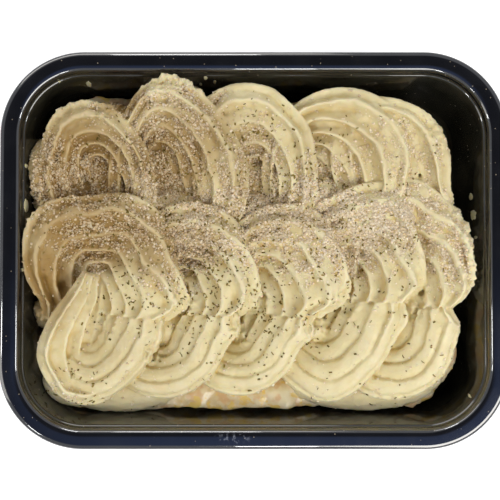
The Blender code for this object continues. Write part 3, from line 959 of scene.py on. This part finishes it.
# Painted shade: in these places the mash and its crumbs are painted darker and browner, for the shade that
# lies over them, most strongly towards the back left.
PAINTED_SHADE_PLACES = [
    (-78, 34, 36, 36, 1), (-74, 8, 40, 24, 1), (-38, 42, 28, 28, 0.9), (-26, 2, 16, 14, 0.6),
    (-96, -14, 22, 28, 1), (-4, 38, 20, 26, 0.5), (38, 46, 34, 24, 0.25), (80, 36, 20, 26, 0.15),
    (-8, 14, 56, 12, 0.35), (-44, 4, 18, 24, 0.75), (-20, 52, 16, 26, 0.6), (-60, 67, 15, 11, 1),
    (-58, -50, 44, 26, 0.14),
]
TORN = [
    (-34, 74, 22, 8, 1), (97, 14, 12, 26, 1), (97, -8, 12, 14, 0.8), (88, -62, 14, 8, 0.8),
    (-92, 52, 12, 22, 0.5), (86, 52, 16, 14, 0.5), (-46, -46, 6, 8, 0.9), (-88, 62, 16, 8, 0.5),
    (-74, 68, 12, 8, 0.6), (-6, -36, 7, 10, 0.8), (-68, 64, 14, 10, 0.8), (-100, 24, 9, 18, 1),
    (-98, -28, 8, 12, 0.7), (27, -34, 9, 9, 0.9), (-31, -23, 9, 8, 0.8), (1, -22, 8, 9, 0.8),
    (41, -22, 9, 10, 0.8), (74, -24, 8, 11, 0.8), (-67, -33, 6, 9, 0.8), (92, -46, 7, 20, 0.5),
    (60, -70, 34, 7, 0.35), (-60, -72, 34, 7, 0.3),
]
HERBED = [
    (-8, 6, 88, 64, 1), (-36, -10, 48, 34, 0.8), (24, 0, 52, 34, 0.5), (-84, -62, 24, 13, 0.7),
]


def build_place_group():
    """1 in the middle of an oval place, easing to 0 at its edge."""
    takes = {"Point": "Vector", "Middle": "Vector", "Half sizes": "Vector"}
    group, given, out = new_group("oval_place", "GeometryNodeTree", takes, {"Share": "Float"})
    away = vector_calc(group, "SUBTRACT", given["Point"], given["Middle"])
    away = vector_calc(group, "DIVIDE", away, given["Half sizes"])
    away = vector_calc(group, "MULTIPLY", away, (1, 1, 0))
    group.links.new(ramp(group, length_of(group, away), 1.15, 0.35), out["Share"])
    return group


PLACE = build_place_group()
print("%d crumbed, %d damp, %d torn places" % (len(CRUMBED), len(PAINTED_SHADE_PLACES), len(TORN)))


def in_places(tree, point, places):
    """How strongly a point lies in any of the places."""
    total = 0.0
    for x, y, half_x, half_y, strength in places:
        feeds = {"Point": point, "Middle": (x * MM, y * MM, 0), "Half sizes": (half_x * MM, half_y * MM, 1)}
        share = node(tree, "GeometryNodeGroup", feeds, node_tree=PLACE).outputs["Share"]
        total = calc(tree, "MAXIMUM", total, times(tree, share, strength))
    return total


# %% Skin tree
# Rounds of blurring for the copy that a hollow is measured from. Then the sizes of the noise behind
# patches of crumbs, their ragged outlines, lumps, pressed crumbs and tears
BLURS = 22
PATCH_SIZE = 5 * MM
STRAY_SIZE = 15 * MM
STRAY_REACH = 22 * MM
LUMP_SIZE = 5 * MM
PRESSED_SIZE = 1.8 * MM
RAGGED_SIZE = 3.0 * MM


def hollow_depth(tree, place, normal):
    """How many millimetres a point lies under the blurred surface: less than 0 on a crest."""
    feeds = {"Iterations": BLURS, "Value": place}
    blurred = node(tree, "GeometryNodeBlurAttribute", feeds, data_type="FLOAT_VECTOR").outputs[0]
    feeds = {0: vector_calc(tree, "SUBTRACT", blurred, place), 1: normal}
    depth = node(tree, "ShaderNodeVectorMath", feeds, operation="DOT_PRODUCT").outputs["Value"]
    return over(tree, depth, 1.0 * MM)


def crumb_cover(tree, place, normal, torn):
    """How thick the crumbs are: they lie in hollows, and where they are thick on crests too."""
    stray = drift_at(tree, place, STRAY_SIZE, 2.0)
    aside = vector_calc(tree, "MULTIPLY", stray, (STRAY_REACH, STRAY_REACH, 0))
    thick = in_places(tree, vector_calc(tree, "ADD", place, aside), CRUMBED)
    patchy = ramp(tree, noise(tree, place, PATCH_SIZE, 3.0), 0.38, 0.56, 0.12, 1.0)
    in_hollows = times(tree, ramp(tree, noted(tree, "hollow"), -0.8, 0.15), patchy)
    on_crests = times(tree, ramp(tree, thick, 0.86, 1.02), ramp(tree, patchy, 0.0, 0.6))
    crumbs = times(tree, thick, calc(tree, "MAXIMUM", in_hollows, on_crests))
    clings = calc(tree, "MAXIMUM", ramp(tree, parts_of(tree, normal)[2], 0.0, 0.45), torn)
    return times(tree, crumbs, clings)


def build_skin_tree():
    tree, given, out = shape_tree(
        "mash_skin", lump_height=("Float", 0.0003), crumb_height=("Float", 0.0005),
        torn_height=("Float", 0.002), finish=("Material", None),
    )
    place, normal = surface_place(tree), surface_normal(tree)
    shape = keep_value(tree, given["Geometry"], "hollow", hollow_depth(tree, place, normal))
    torn = in_places(tree, place, TORN)
    shape = keep_value(tree, shape, "crumbs", crumb_cover(tree, place, normal, torn))
    # Notes how much shade is painted on each point.
    shape = keep_value(tree, shape, "damp", in_places(tree, place, PAINTED_SHADE_PLACES))
    shape = keep_value(tree, shape, "torn", torn)

    def uneven(size, height, detail, roughness=0.5):
        return times(tree, minus(tree, noise(tree, place, size, detail, roughness), 0.5), height)

    lumps = uneven(LUMP_SIZE, given["Lump height"], 5.0, 0.68)
    where_crumbed = times(tree, noted(tree, "crumbs"), 2.0)
    pressed = times(tree, uneven(PRESSED_SIZE, given["Crumb height"], 2.0), where_crumbed)
    ragged = times(tree, uneven(RAGGED_SIZE, given["Torn height"], 4.0), noted(tree, "torn"))
    shape = pushed(tree, shape, scaled(tree, normal, plus(tree, lumps, pressed, ragged)))
    finish_tree(tree, shape, out, given["Finish"])
    return tree


SKIN = build_skin_tree()
print("skin tree has %d nodes" % len(SKIN.nodes))


# %% [markdown]
# The mash is cream-coloured and lets a little light in. Creases are painted a deeper yellow shade,
# for the light that has gone through more of it there and the shade in them, and crests are painted
# paler, partly as drier mash and partly as painted light. Where shade is painted on, it is darker
# still. Pressed-in crumbs make it tan and grainy, with painted shade between the grains. Painting
# this by hand would fix it to one shape, so the notes on the skin mix the colours.
# %% Mash finish
PRESSED_GRAIN = 1.25 * MM


def build_mash_finish():
    finish, tree, shader = new_finish(
        "mash", Subsurface_Weight=0.35, Subsurface_Scale=0.0016, Subsurface_Radius=(1.0, 0.62, 0.22),
        Specular_IOR_Level=0.35,
    )
    place = object_place(tree)
    uneven = grain(tree, 6 * MM, 1.3 * MM, 0.6)
    hollow, crumbs, damp = (attribute(tree, name) for name in ("hollow", "crumbs", "damp"))
    cream = colour_between(tree, uneven["Blotches"], (0.69, 0.59, 0.325), (0.74, 0.65, 0.385))
    # Painted shade: where it is noted, the cream is painted a dark brownish yellow.
    shaded = colour_between(tree, damp, cream, (0.34, 0.21, 0.062))
    # Painted light: crests, where a point stands above the blurred surface, are painted paler, partly as
    # drier mash and partly as painted light; less so where shade is painted.
    pale = colour_between(tree, damp, (0.78, 0.70, 0.48), (0.65, 0.52, 0.30))
    painted_crest_light = colour_between(tree, ramp(tree, hollow, 0.0, -1.1, 0.0, 0.7), shaded, pale)
    # Painted shade: creases are painted a deeper yellow, for the light gone through more mash and the shade
    # in them, and dark brown where shade is painted too.
    deep = colour_between(tree, damp, (0.62, 0.44, 0.15), (0.22, 0.12, 0.022))
    painted_crease_shade = colour_between(tree, ramp(tree, hollow, 0.1, 1.2), painted_crest_light, deep)
    grains = node(tree, "ShaderNodeTexVoronoi", {"Vector": place, "Scale": 1 / PRESSED_GRAIN}).outputs
    # Pressed-in crumbs: tan grains, painted darker where shade is painted, with painted shade in the gaps
    # between them.
    dark_grain = colour_between(tree, damp, (0.67, 0.51, 0.25), (0.26, 0.155, 0.048))
    light_grain = colour_between(tree, damp, (0.86, 0.75, 0.51), (0.47, 0.32, 0.13))
    painted_shade_between_grains = colour_between(tree, damp, (0.64, 0.46, 0.18), (0.18, 0.095, 0.020))
    tan = colour_between(tree, red_of(tree, grains["Color"]), dark_grain, light_grain)
    tan = colour_between(tree, ramp(tree, grains["Distance"], 0.4, 0.7), tan, painted_shade_between_grains)
    crumbed = colour_between(tree, ramp(tree, crumbs, 0.15, 0.6, 0.0, 0.92), painted_crease_shade, tan)
    tree.links.new(crumbed, shader.inputs["Base Color"])
    tree.links.new(ramp(tree, crumbs, 0.1, 0.5, 0.46, 0.85), shader.inputs["Roughness"])
    pressed = times(tree, minus(tree, 1.0, grains["Distance"]), ramp(tree, crumbs, 0.1, 0.4))
    height = plus(tree, times(tree, uneven["Height"], 0.8), pressed)
    bumpy(tree, shader, height, 0.5 * MM, 0.85)
    return finish


MASH_FINISH = build_mash_finish()
print("mash finish has %d nodes" % len(MASH_FINISH.node_tree.nodes))


# %% The two rows of mash
LUMP_HEIGHT = 1.1 * MM
CRUMB_HEIGHT = 1.6 * MM
TORN_HEIGHT = 8.0 * MM


def make_row(row, paths, core):
    """One finished row: piped, melted together and given its skin."""
    bare = add_piece("bare_mash", melt_row(row, paths, core, MASH_FINISH))
    bare.data.polygons.foreach_set("material_index", [0] * len(bare.data.polygons))
    mesh = grow(
        bare, SKIN, lump_height=LUMP_HEIGHT, crumb_height=CRUMB_HEIGHT, torn_height=TORN_HEIGHT,
        finish=MASH_FINISH,
    )
    bpy.data.objects.remove(bare)
    keep_inside_wall(mesh, MASH_GAP)
    mesh.shade_smooth()
    return add_piece("mash_%s_row" % row, mesh)


back_row = make_row("back", back_paths, core_mesh(CORE_TOP["back"], 1, BACK_FILL))
front_row = make_row("front", front_paths, core_mesh(CORE_TOP["front"], -1, FRONT_FILL))
for row in (back_row, front_row):
    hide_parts("mash")
    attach(row, "root")
print("mash placed")


# %% [markdown]
# ## Filling
# Fish in a creamy sauce shows in a few gaps at the foot of the mash. It is wet and lumpy. The plain
# solid already has its outline, so a copy of it is remeshed finely and pushed in and out by noise;
# a sculpted surface would hardly show.
# %% Filling tree
WET_LUMP_SIZE = 9 * MM
# The heap at the front: from where to where it rises on its left, on its right and towards the front,
# and the height over the tray's foot from which it does so
HEAP_LEFT = (-46 * MM, -34 * MM)
HEAP_RIGHT = (28 * MM, 14 * MM)
HEAP_FRONT = (-52 * MM, -66 * MM)
HEAP_FOOT = 12 * MM


def build_filling_tree():
    tree, given, out = shape_tree(
        "wet_lumps", lump_height=("Float", 0.002), heap_height=("Float", 0.004), finish=("Material", None),
    )
    place = surface_place(tree)
    lumps = minus(tree, ramp(tree, noise(tree, place, WET_LUMP_SIZE, 2.0), 0.3, 0.75), 0.8)
    push = scaled(tree, surface_normal(tree), times(tree, lumps, given["Lump height"]))
    x, y, z = parts_of(tree, place)
    heaped = times(
        tree, ramp(tree, y, *HEAP_FRONT), ramp(tree, z, HEAP_FOOT, FILLING_LEVEL), ramp(tree, x, *HEAP_LEFT),
        ramp(tree, x, *HEAP_RIGHT), given["Heap height"],
    )
    push = vector_calc(tree, "ADD", push, upwards(tree, heaped))
    finish_tree(tree, pushed(tree, given["Geometry"], push), out, given["Finish"])
    return tree


# %% Filling finish
# Sizes of the noise behind the yellow and the pink bits, and a step that gives each its own noise
YELLOW_SIZE = 5 * MM
PINK_SIZE = 7 * MM
NOISE_STEP = (0.1, 0, 0)


def build_filling_finish():
    finish, tree, shader = new_finish(
        "sauce", Subsurface_Weight=0.2, Subsurface_Scale=0.0015, Subsurface_Radius=(1.0, 0.6, 0.3),
        Coat_Weight=0.7, Coat_Roughness=0.08,
    )
    uneven = grain(tree, 9 * MM, 2.2 * MM, 0.5)
    place = object_place(tree)
    bits = ramp(tree, noise(tree, place, YELLOW_SIZE, 3.0), 0.53, 0.61)
    elsewhere = vector_calc(tree, "ADD", place, NOISE_STEP)
    pink = ramp(tree, noise(tree, elsewhere, PINK_SIZE, 2.0), 0.5, 0.62)
    sauce = colour_between(tree, uneven["Blotches"], (0.78, 0.61, 0.33), (0.87, 0.75, 0.49))
    sauce = colour_between(tree, times(tree, pink, 0.75), sauce, (0.76, 0.47, 0.22))
    yellow = colour_between(tree, bits, sauce, (0.84, 0.60, 0.17))
    tree.links.new(yellow, shader.inputs["Base Color"])
    tree.links.new(between(tree, uneven["Blotches"], 0.22, 0.4), shader.inputs["Roughness"])
    bumpy(tree, shader, uneven["Height"], 0.9 * MM, 0.8)
    return finish


# %% Filling piece
FILLING_VOXEL = 1.3 * MM
FILLING_GAP = 0.1 * MM
WET_LUMP_HEIGHT = 2.0 * MM
HEAP_HEIGHT = 4.0 * MM


def make_filling():
    copy = add_piece("filling_copy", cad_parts["filling"].data.copy())
    copy.data = melted(copy, FILLING_VOXEL)
    mesh = grow(
        copy, build_filling_tree(), lump_height=WET_LUMP_HEIGHT, heap_height=HEAP_HEIGHT,
        finish=build_filling_finish(),
    )
    bpy.data.objects.remove(copy)
    keep_inside_wall(mesh, FILLING_GAP)
    mesh.shade_smooth()
    filling = add_piece("sauce_and_fish", mesh)
    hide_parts("filling")
    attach(filling, "root")
    print("filling %d triangles" % triangles(mesh))


make_filling()


# %% [markdown]
# ## Smears on the wall
# A few bits of mash stick to the wall of the tray. Each could be dabbed on with a sculpting brush,
# but they are small lumps of one kind, so each is a ball knocked out of shape by noise, stretched
# along the wall and pressed flat on it.
# %% Smears
# The middle's two places from the tray's centre, half length along the wall and half width, millimetres
SMEARS = [
    (100.5, 25, 1.6, 0.6), (101, 16.5, 2.4, 0.9), (-103, 20, 3.0, 0.8), (-76, 76.5, 1.2, 0.9),
    (-88, 76, 0.5, 0.5), (-22, 78, 0.9, 0.7), (-18, 77, 0.7, 0.6), (-103, 38, 0.9, 0.6),
    (-24.5, 76.5, 0.6, 0.5), (97.5, -66, 0.8, 0.5), (101.5, 6, 0.7, 0.5), (-104, -9, 0.8, 0.5),
]
# How far noise knocks a smear out of round, how much of that is a dent, and how fine the noise is
SMEAR_KNOCK = 0.45
SMEAR_DENT = 0.1
SMEAR_FINENESS = 1.7
# Shares of the half width: how wide and how thick a smear comes out, and how far it stands proud
SMEAR_WIDTH = 0.75
SMEAR_THICKNESS = 0.5
SMEAR_PROUD = 0.3


def wall_height(x, y):
    """Height of the tray's surface under a point, from how far in from the outer edge it is."""
    past = np.abs([x, y]) - TRAY_FLAT
    beyond = np.hypot(*np.maximum(past, 0)) + min(past.max(), 0)
    inset = (TRAY_CORNER - beyond) / MM
    return RIM + np.interp(inset, [p[0] for p in TRAY_SECTION], [p[1] for p in TRAY_SECTION]) * MM


def make_smears():
    work = bmesh.new()
    for x, y, half_length, half_width in SMEARS:
        along_side = abs(x) * TRAY_HIGH.y > abs(y) * TRAY_HIGH.x
        for vert in bmesh.ops.create_icosphere(work, subdivisions=3, radius=1.0)["verts"]:
            bulge = noise_at(vert.co * SMEAR_FINENESS + Vector((x, y, 0))) - SMEAR_DENT
            vert.co *= 1 + SMEAR_KNOCK * bulge
            length, width = vert.co.x * half_length, vert.co.y * half_width * SMEAR_WIDTH
            aside = (width, length) if along_side else (length, width)
            spot_x, spot_y = x * MM + aside[0] * MM, y * MM + aside[1] * MM
            lift = (vert.co.z + SMEAR_PROUD) * SMEAR_THICKNESS * half_width * MM
            vert.co = (spot_x, spot_y, wall_height(spot_x, spot_y) + lift)
    mesh = mesh_of(work, "smears")
    mesh.materials.append(MASH_FINISH)
    mesh.shade_smooth()
    smears = add_piece("mash_smears", mesh)
    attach(smears, "root")
    print("smears %d triangles" % triangles(mesh))


make_smears()


# %% [markdown]
# ## Breadcrumbs
# Dry crumbs are strewn over the pie, thickly across the middle. Each is a tiny irregular body. A
# particle system could strew them, but what it makes doesn't stay in the mesh, so Geometry Nodes
# put points on the mash where the skin notes crumbs, place a small solid on each and make it real.
# Fine, middling and coarse crumbs are three runs of one tree with other sizes and seeds.
# %% Strewing
# As far as a strewn thing turns, in radians
FULL_TURN = 6.28


def random_value(tree, low, high, seed, kind="FLOAT"):
    made = node(tree, "FunctionNodeRandomValue", {"Seed": seed}, data_type=kind)
    is_vector = kind == "FLOAT_VECTOR"
    for place, value in enumerate((low, high), 0 if is_vector else 2):
        made.inputs[place].default_value = value
    return made.outputs[0 if is_vector else 1]


def random_vector(tree, given, low, high, seed_step):
    return random_value(tree, low, high, plus(tree, given["Seed"], seed_step), "FLOAT_VECTOR")


def spread_points(tree, given, density, tone):
    """Points spread over the surface, each with its tone noted, and the surface's normals there."""
    feeds = {"Mesh": given["Geometry"], "Density": density, "Seed": given["Seed"]}
    spread = node(tree, "GeometryNodeDistributePointsOnFaces", feeds).outputs
    return keep_value(tree, spread["Points"], "tone", tone), spread["Normal"]


def put_on_points(tree, given, points, shape, turn, stretch, size):
    """A shape on each point, turned, and stretched at random between two limits."""
    scale = scaled(tree, random_vector(tree, given, *stretch, 2.0), size)
    feeds = {"Points": points, "Instance": shape, "Rotation": turn, "Scale": scale}
    return node(tree, "GeometryNodeInstanceOnPoints", feeds).outputs[0]


# %% Crumb tree
# The least and most stretch of a crumb, the size of the noise that knocks its corners about, and how
# far it does so as a share of the crumb
CRUMB_STRETCH = ((0.75, 0.7, 0.65), (1.25, 1.1, 1.0))
KNOCK_SIZE = 0.6 * MM
KNOCK_SHARE = 0.5


def crumb_body(tree, given):
    """A double pyramid, or a rounder body where more faces are asked for."""
    sharp = node(tree, "GeometryNodeMeshUVSphere", {"Segments": 4, "Rings": 2, "Radius": 0.5}).outputs["Mesh"]
    rounder = node(tree, "GeometryNodeMeshIcoSphere", {"Radius": 0.5, "Subdivisions": 1}).outputs["Mesh"]
    feeds = {0: calc(tree, "GREATER_THAN", given["Faces"], 8.5), 1: sharp, 2: rounder}
    return node(tree, "GeometryNodeSwitch", feeds, input_type="GEOMETRY").outputs[0]


def build_crumb_tree():
    tree, given, out = shape_tree(
        "strewn_crumbs", density=("Float", 1e6), least=("Float", 0.0), size=("Float", 0.001),
        faces=("Int", 1), seed=("Int", 1), finish=("Material", None),
    )
    thick = plus(tree, calc(tree, "POWER", noted(tree, "crumbs"), 1.2), given["Least"])
    tone = random_value(tree, 0.0, 0.55, given["Seed"])
    # Painted shade: crumbs get lower tones, so darker colours, where shade is painted on the mash.
    tone = plus(tree, tone, between(tree, noted(tree, "damp"), 0.42, 0.02))
    points, _ = spread_points(tree, given, times(tree, thick, given["Density"]), tone)
    turn = random_vector(tree, given, (0, 0, 0), (FULL_TURN, FULL_TURN, FULL_TURN), 1.0)
    strewn = put_on_points(tree, given, points, crumb_body(tree, given), turn, CRUMB_STRETCH, given["Size"])
    real = node(tree, "GeometryNodeRealizeInstances", {0: strewn}).outputs[0]
    knocks = drift_at(tree, surface_place(tree), KNOCK_SIZE, 1.0)
    real = pushed(tree, real, scaled(tree, knocks, times(tree, given["Size"], KNOCK_SHARE)))
    real = node(tree, "GeometryNodeSetShadeSmooth", {"Geometry": real}).outputs[0]
    finish_tree(tree, real, out, given["Finish"])
    return tree


CRUMBS = build_crumb_tree()
print("crumb tree has %d nodes" % len(CRUMBS.nodes))


# %% Crumb finish
def build_crumb_finish():
    finish, tree, shader = new_finish(
        "breadcrumb", Roughness=0.9, Specular_IOR_Level=0.2, Subsurface_Weight=0.3, Subsurface_Scale=0.0008,
        Subsurface_Radius=(1.0, 0.7, 0.35),
    )
    uneven = grain(tree, 1.2 * MM, 0.3 * MM, 0.5)
    tone = attribute(tree, "tone")
    # Low tones, which come up where shade is painted, are painted shade; the few darkest crumbs, found only
    # deep in painted shade, are painted dark brown.
    pale = colour_between(tree, tone, (0.36, 0.22, 0.07), (0.96, 0.84, 0.655))
    darkest_crumbs_in_painted_shade = colour_between(tree, ramp(tree, tone, 0.03, 0.025), pale, (0.26, 0.15, 0.05))
    mottled = colour_between(tree, times(tree, uneven["Blotches"], 0.25), darkest_crumbs_in_painted_shade, (0.76, 0.60, 0.38))
    tree.links.new(mottled, shader.inputs["Base Color"])
    bumpy(tree, shader, uneven["Height"], 0.15 * MM, 0.35)
    return finish


CRUMB_FINISH = build_crumb_finish()


# %% Crumb pieces
# Piece, faces of one crumb, its size, crumbs to the square metre where thickest, least share of that
# anywhere, and seed
CRUMB_KINDS = [
    ("crumbs_fine", 8, 0.85 * MM, 1.4e6, 0.015, 11),
    ("crumbs_middling", 8, 1.15 * MM, 1.3e6, 0.012, 23),
    ("crumbs_coarse", 20, 1.55 * MM, 0.45e6, 0.010, 37),
]


def joined_copy(pieces):
    """One object that holds copies of the pieces' meshes."""
    copies = [add_piece("copy", piece.data.copy()) for piece in pieces]
    with bpy.context.temp_override(active_object=copies[0], selected_editable_objects=copies):
        bpy.ops.object.join()
    return copies[0]


ground = joined_copy([back_row, front_row])
for name, faces, size, density, least, seed in CRUMB_KINDS:
    mesh = grow(
        ground, CRUMBS, density=density, least=least, size=size, faces=faces, seed=seed, finish=CRUMB_FINISH,
    )
    crumbs = add_piece(name, mesh)
    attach(crumbs, "root")
    print("%s: %d triangles" % (name, triangles(mesh)))


# %% [markdown]
# ## Parsley
# Dried parsley lies over the middle of the pie: small dark flakes, a millimetre or two long and
# slightly curled. Flat cards would vanish when seen from the side, so a flake is a thin solid. They
# are strewn like the crumbs, but each one lies along the surface, so the tree turns it to the
# surface's normal before it spins it.
# %% Parsley tree
# The least and most stretch of a flake, how far its ends curl down for its length, how high it lies,
# and how far it leans, in radians
FLAKE_STRETCH = ((0.35, 0.22, 0.8), (1.5, 0.95, 1.2))
FLAKE_CURL = -0.7
FLAKE_LIFT = 0.3 * MM
MOST_LEAN = 0.5
CLUMP_SIZE = 12 * MM


def curled_flake(tree, given):
    """A small sheet, curled down at its ends and given its thickness."""
    feeds = {"Size X": 1.0, "Size Y": 0.75, "Vertices X": 4, "Vertices Y": 3}
    flat = node(tree, "GeometryNodeMeshGrid", feeds).outputs["Mesh"]
    along = parts_of(tree, surface_place(tree))[0]
    flat = pushed(tree, flat, upwards(tree, times(tree, along, along, FLAKE_CURL)))
    thickness = over(tree, given["Thickness"], given["Length"])
    feeds = {"Mesh": flat, "Offset Scale": thickness, "Individual": False}
    raised = node(tree, "GeometryNodeExtrudeMesh", feeds, mode="FACES").outputs[0]
    both = node(tree, "GeometryNodeJoinGeometry")
    for sheet in (node(tree, "GeometryNodeFlipFaces", {"Mesh": flat}).outputs[0], raised):
        tree.links.new(sheet, both.inputs[0])
    feeds = {"Geometry": both.outputs[0], "Distance": 0.001}
    return node(tree, "GeometryNodeMergeByDistance", feeds).outputs[0]


def build_parsley_tree():
    tree, given, out = shape_tree(
        "strewn_flakes", density=("Float", 1e5), least=("Float", 0.03), length=("Float", 0.0013),
        thickness=("Float", 0.0001), seed=("Int", 1), finish=("Material", None),
    )
    place = surface_place(tree)
    upright = ramp(tree, parts_of(tree, surface_normal(tree))[2], 0.1, 0.5)
    thick = plus(tree, in_places(tree, place, HERBED), given["Least"])
    clumps = ramp(tree, noise(tree, place, CLUMP_SIZE, 2.0), 0.36, 0.66, 0.15, 1.6)
    density = times(tree, thick, clumps, times(tree, upright, given["Density"]))
    points, normals = spread_points(tree, given, density, random_value(tree, 0.0, 1.0, given["Seed"]))

    lie = node(tree, "FunctionNodeAlignRotationToVector", {"Vector": normals}, axis="Z").outputs[0]
    lean = random_vector(tree, given, (-MOST_LEAN, -MOST_LEAN, 0.0), (MOST_LEAN, MOST_LEAN, FULL_TURN), 1.0)
    feeds = {"Rotation": lie, "Rotate By": node(tree, "FunctionNodeEulerToRotation", {0: lean}).outputs[0]}
    turn = node(tree, "FunctionNodeRotateRotation", feeds, rotation_space="LOCAL").outputs[0]
    flake = curled_flake(tree, given)
    strewn = put_on_points(tree, given, points, flake, turn, FLAKE_STRETCH, given["Length"])
    feeds = {"Instances": strewn, "Translation": (0, 0, FLAKE_LIFT), "Local Space": False}
    strewn = node(tree, "GeometryNodeTranslateInstances", feeds).outputs[0]
    finish_tree(tree, strewn, out, given["Finish"])
    return tree


# %% Parsley finish
def build_parsley_finish():
    finish, tree, shader = new_finish("dried_parsley", Roughness=0.9, Specular_IOR_Level=0.08)
    uneven = grain(tree, 1.0 * MM, 0.25 * MM, 0.5)
    tone = attribute(tree, "tone")
    green = colour_between(tree, tone, (0.14, 0.095, 0.018), (0.32, 0.23, 0.060))
    veined = colour_between(tree, times(tree, uneven["Blotches"], 0.4), green, (0.05, 0.045, 0.015))
    tree.links.new(veined, shader.inputs["Base Color"])
    bumpy(tree, shader, uneven["Height"], 0.15 * MM, 0.6)
    return finish


# %% Parsley piece
parsley_mesh = grow(
    ground, build_parsley_tree(), density=0.12e6, least=0.06, length=1.15 * MM, thickness=0.1 * MM, seed=5,
    finish=build_parsley_finish(),
)
parsley = add_piece("parsley_flakes", parsley_mesh)
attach(parsley, "root")
bpy.data.objects.remove(ground)
print("parsley: %d triangles" % triangles(parsley_mesh))
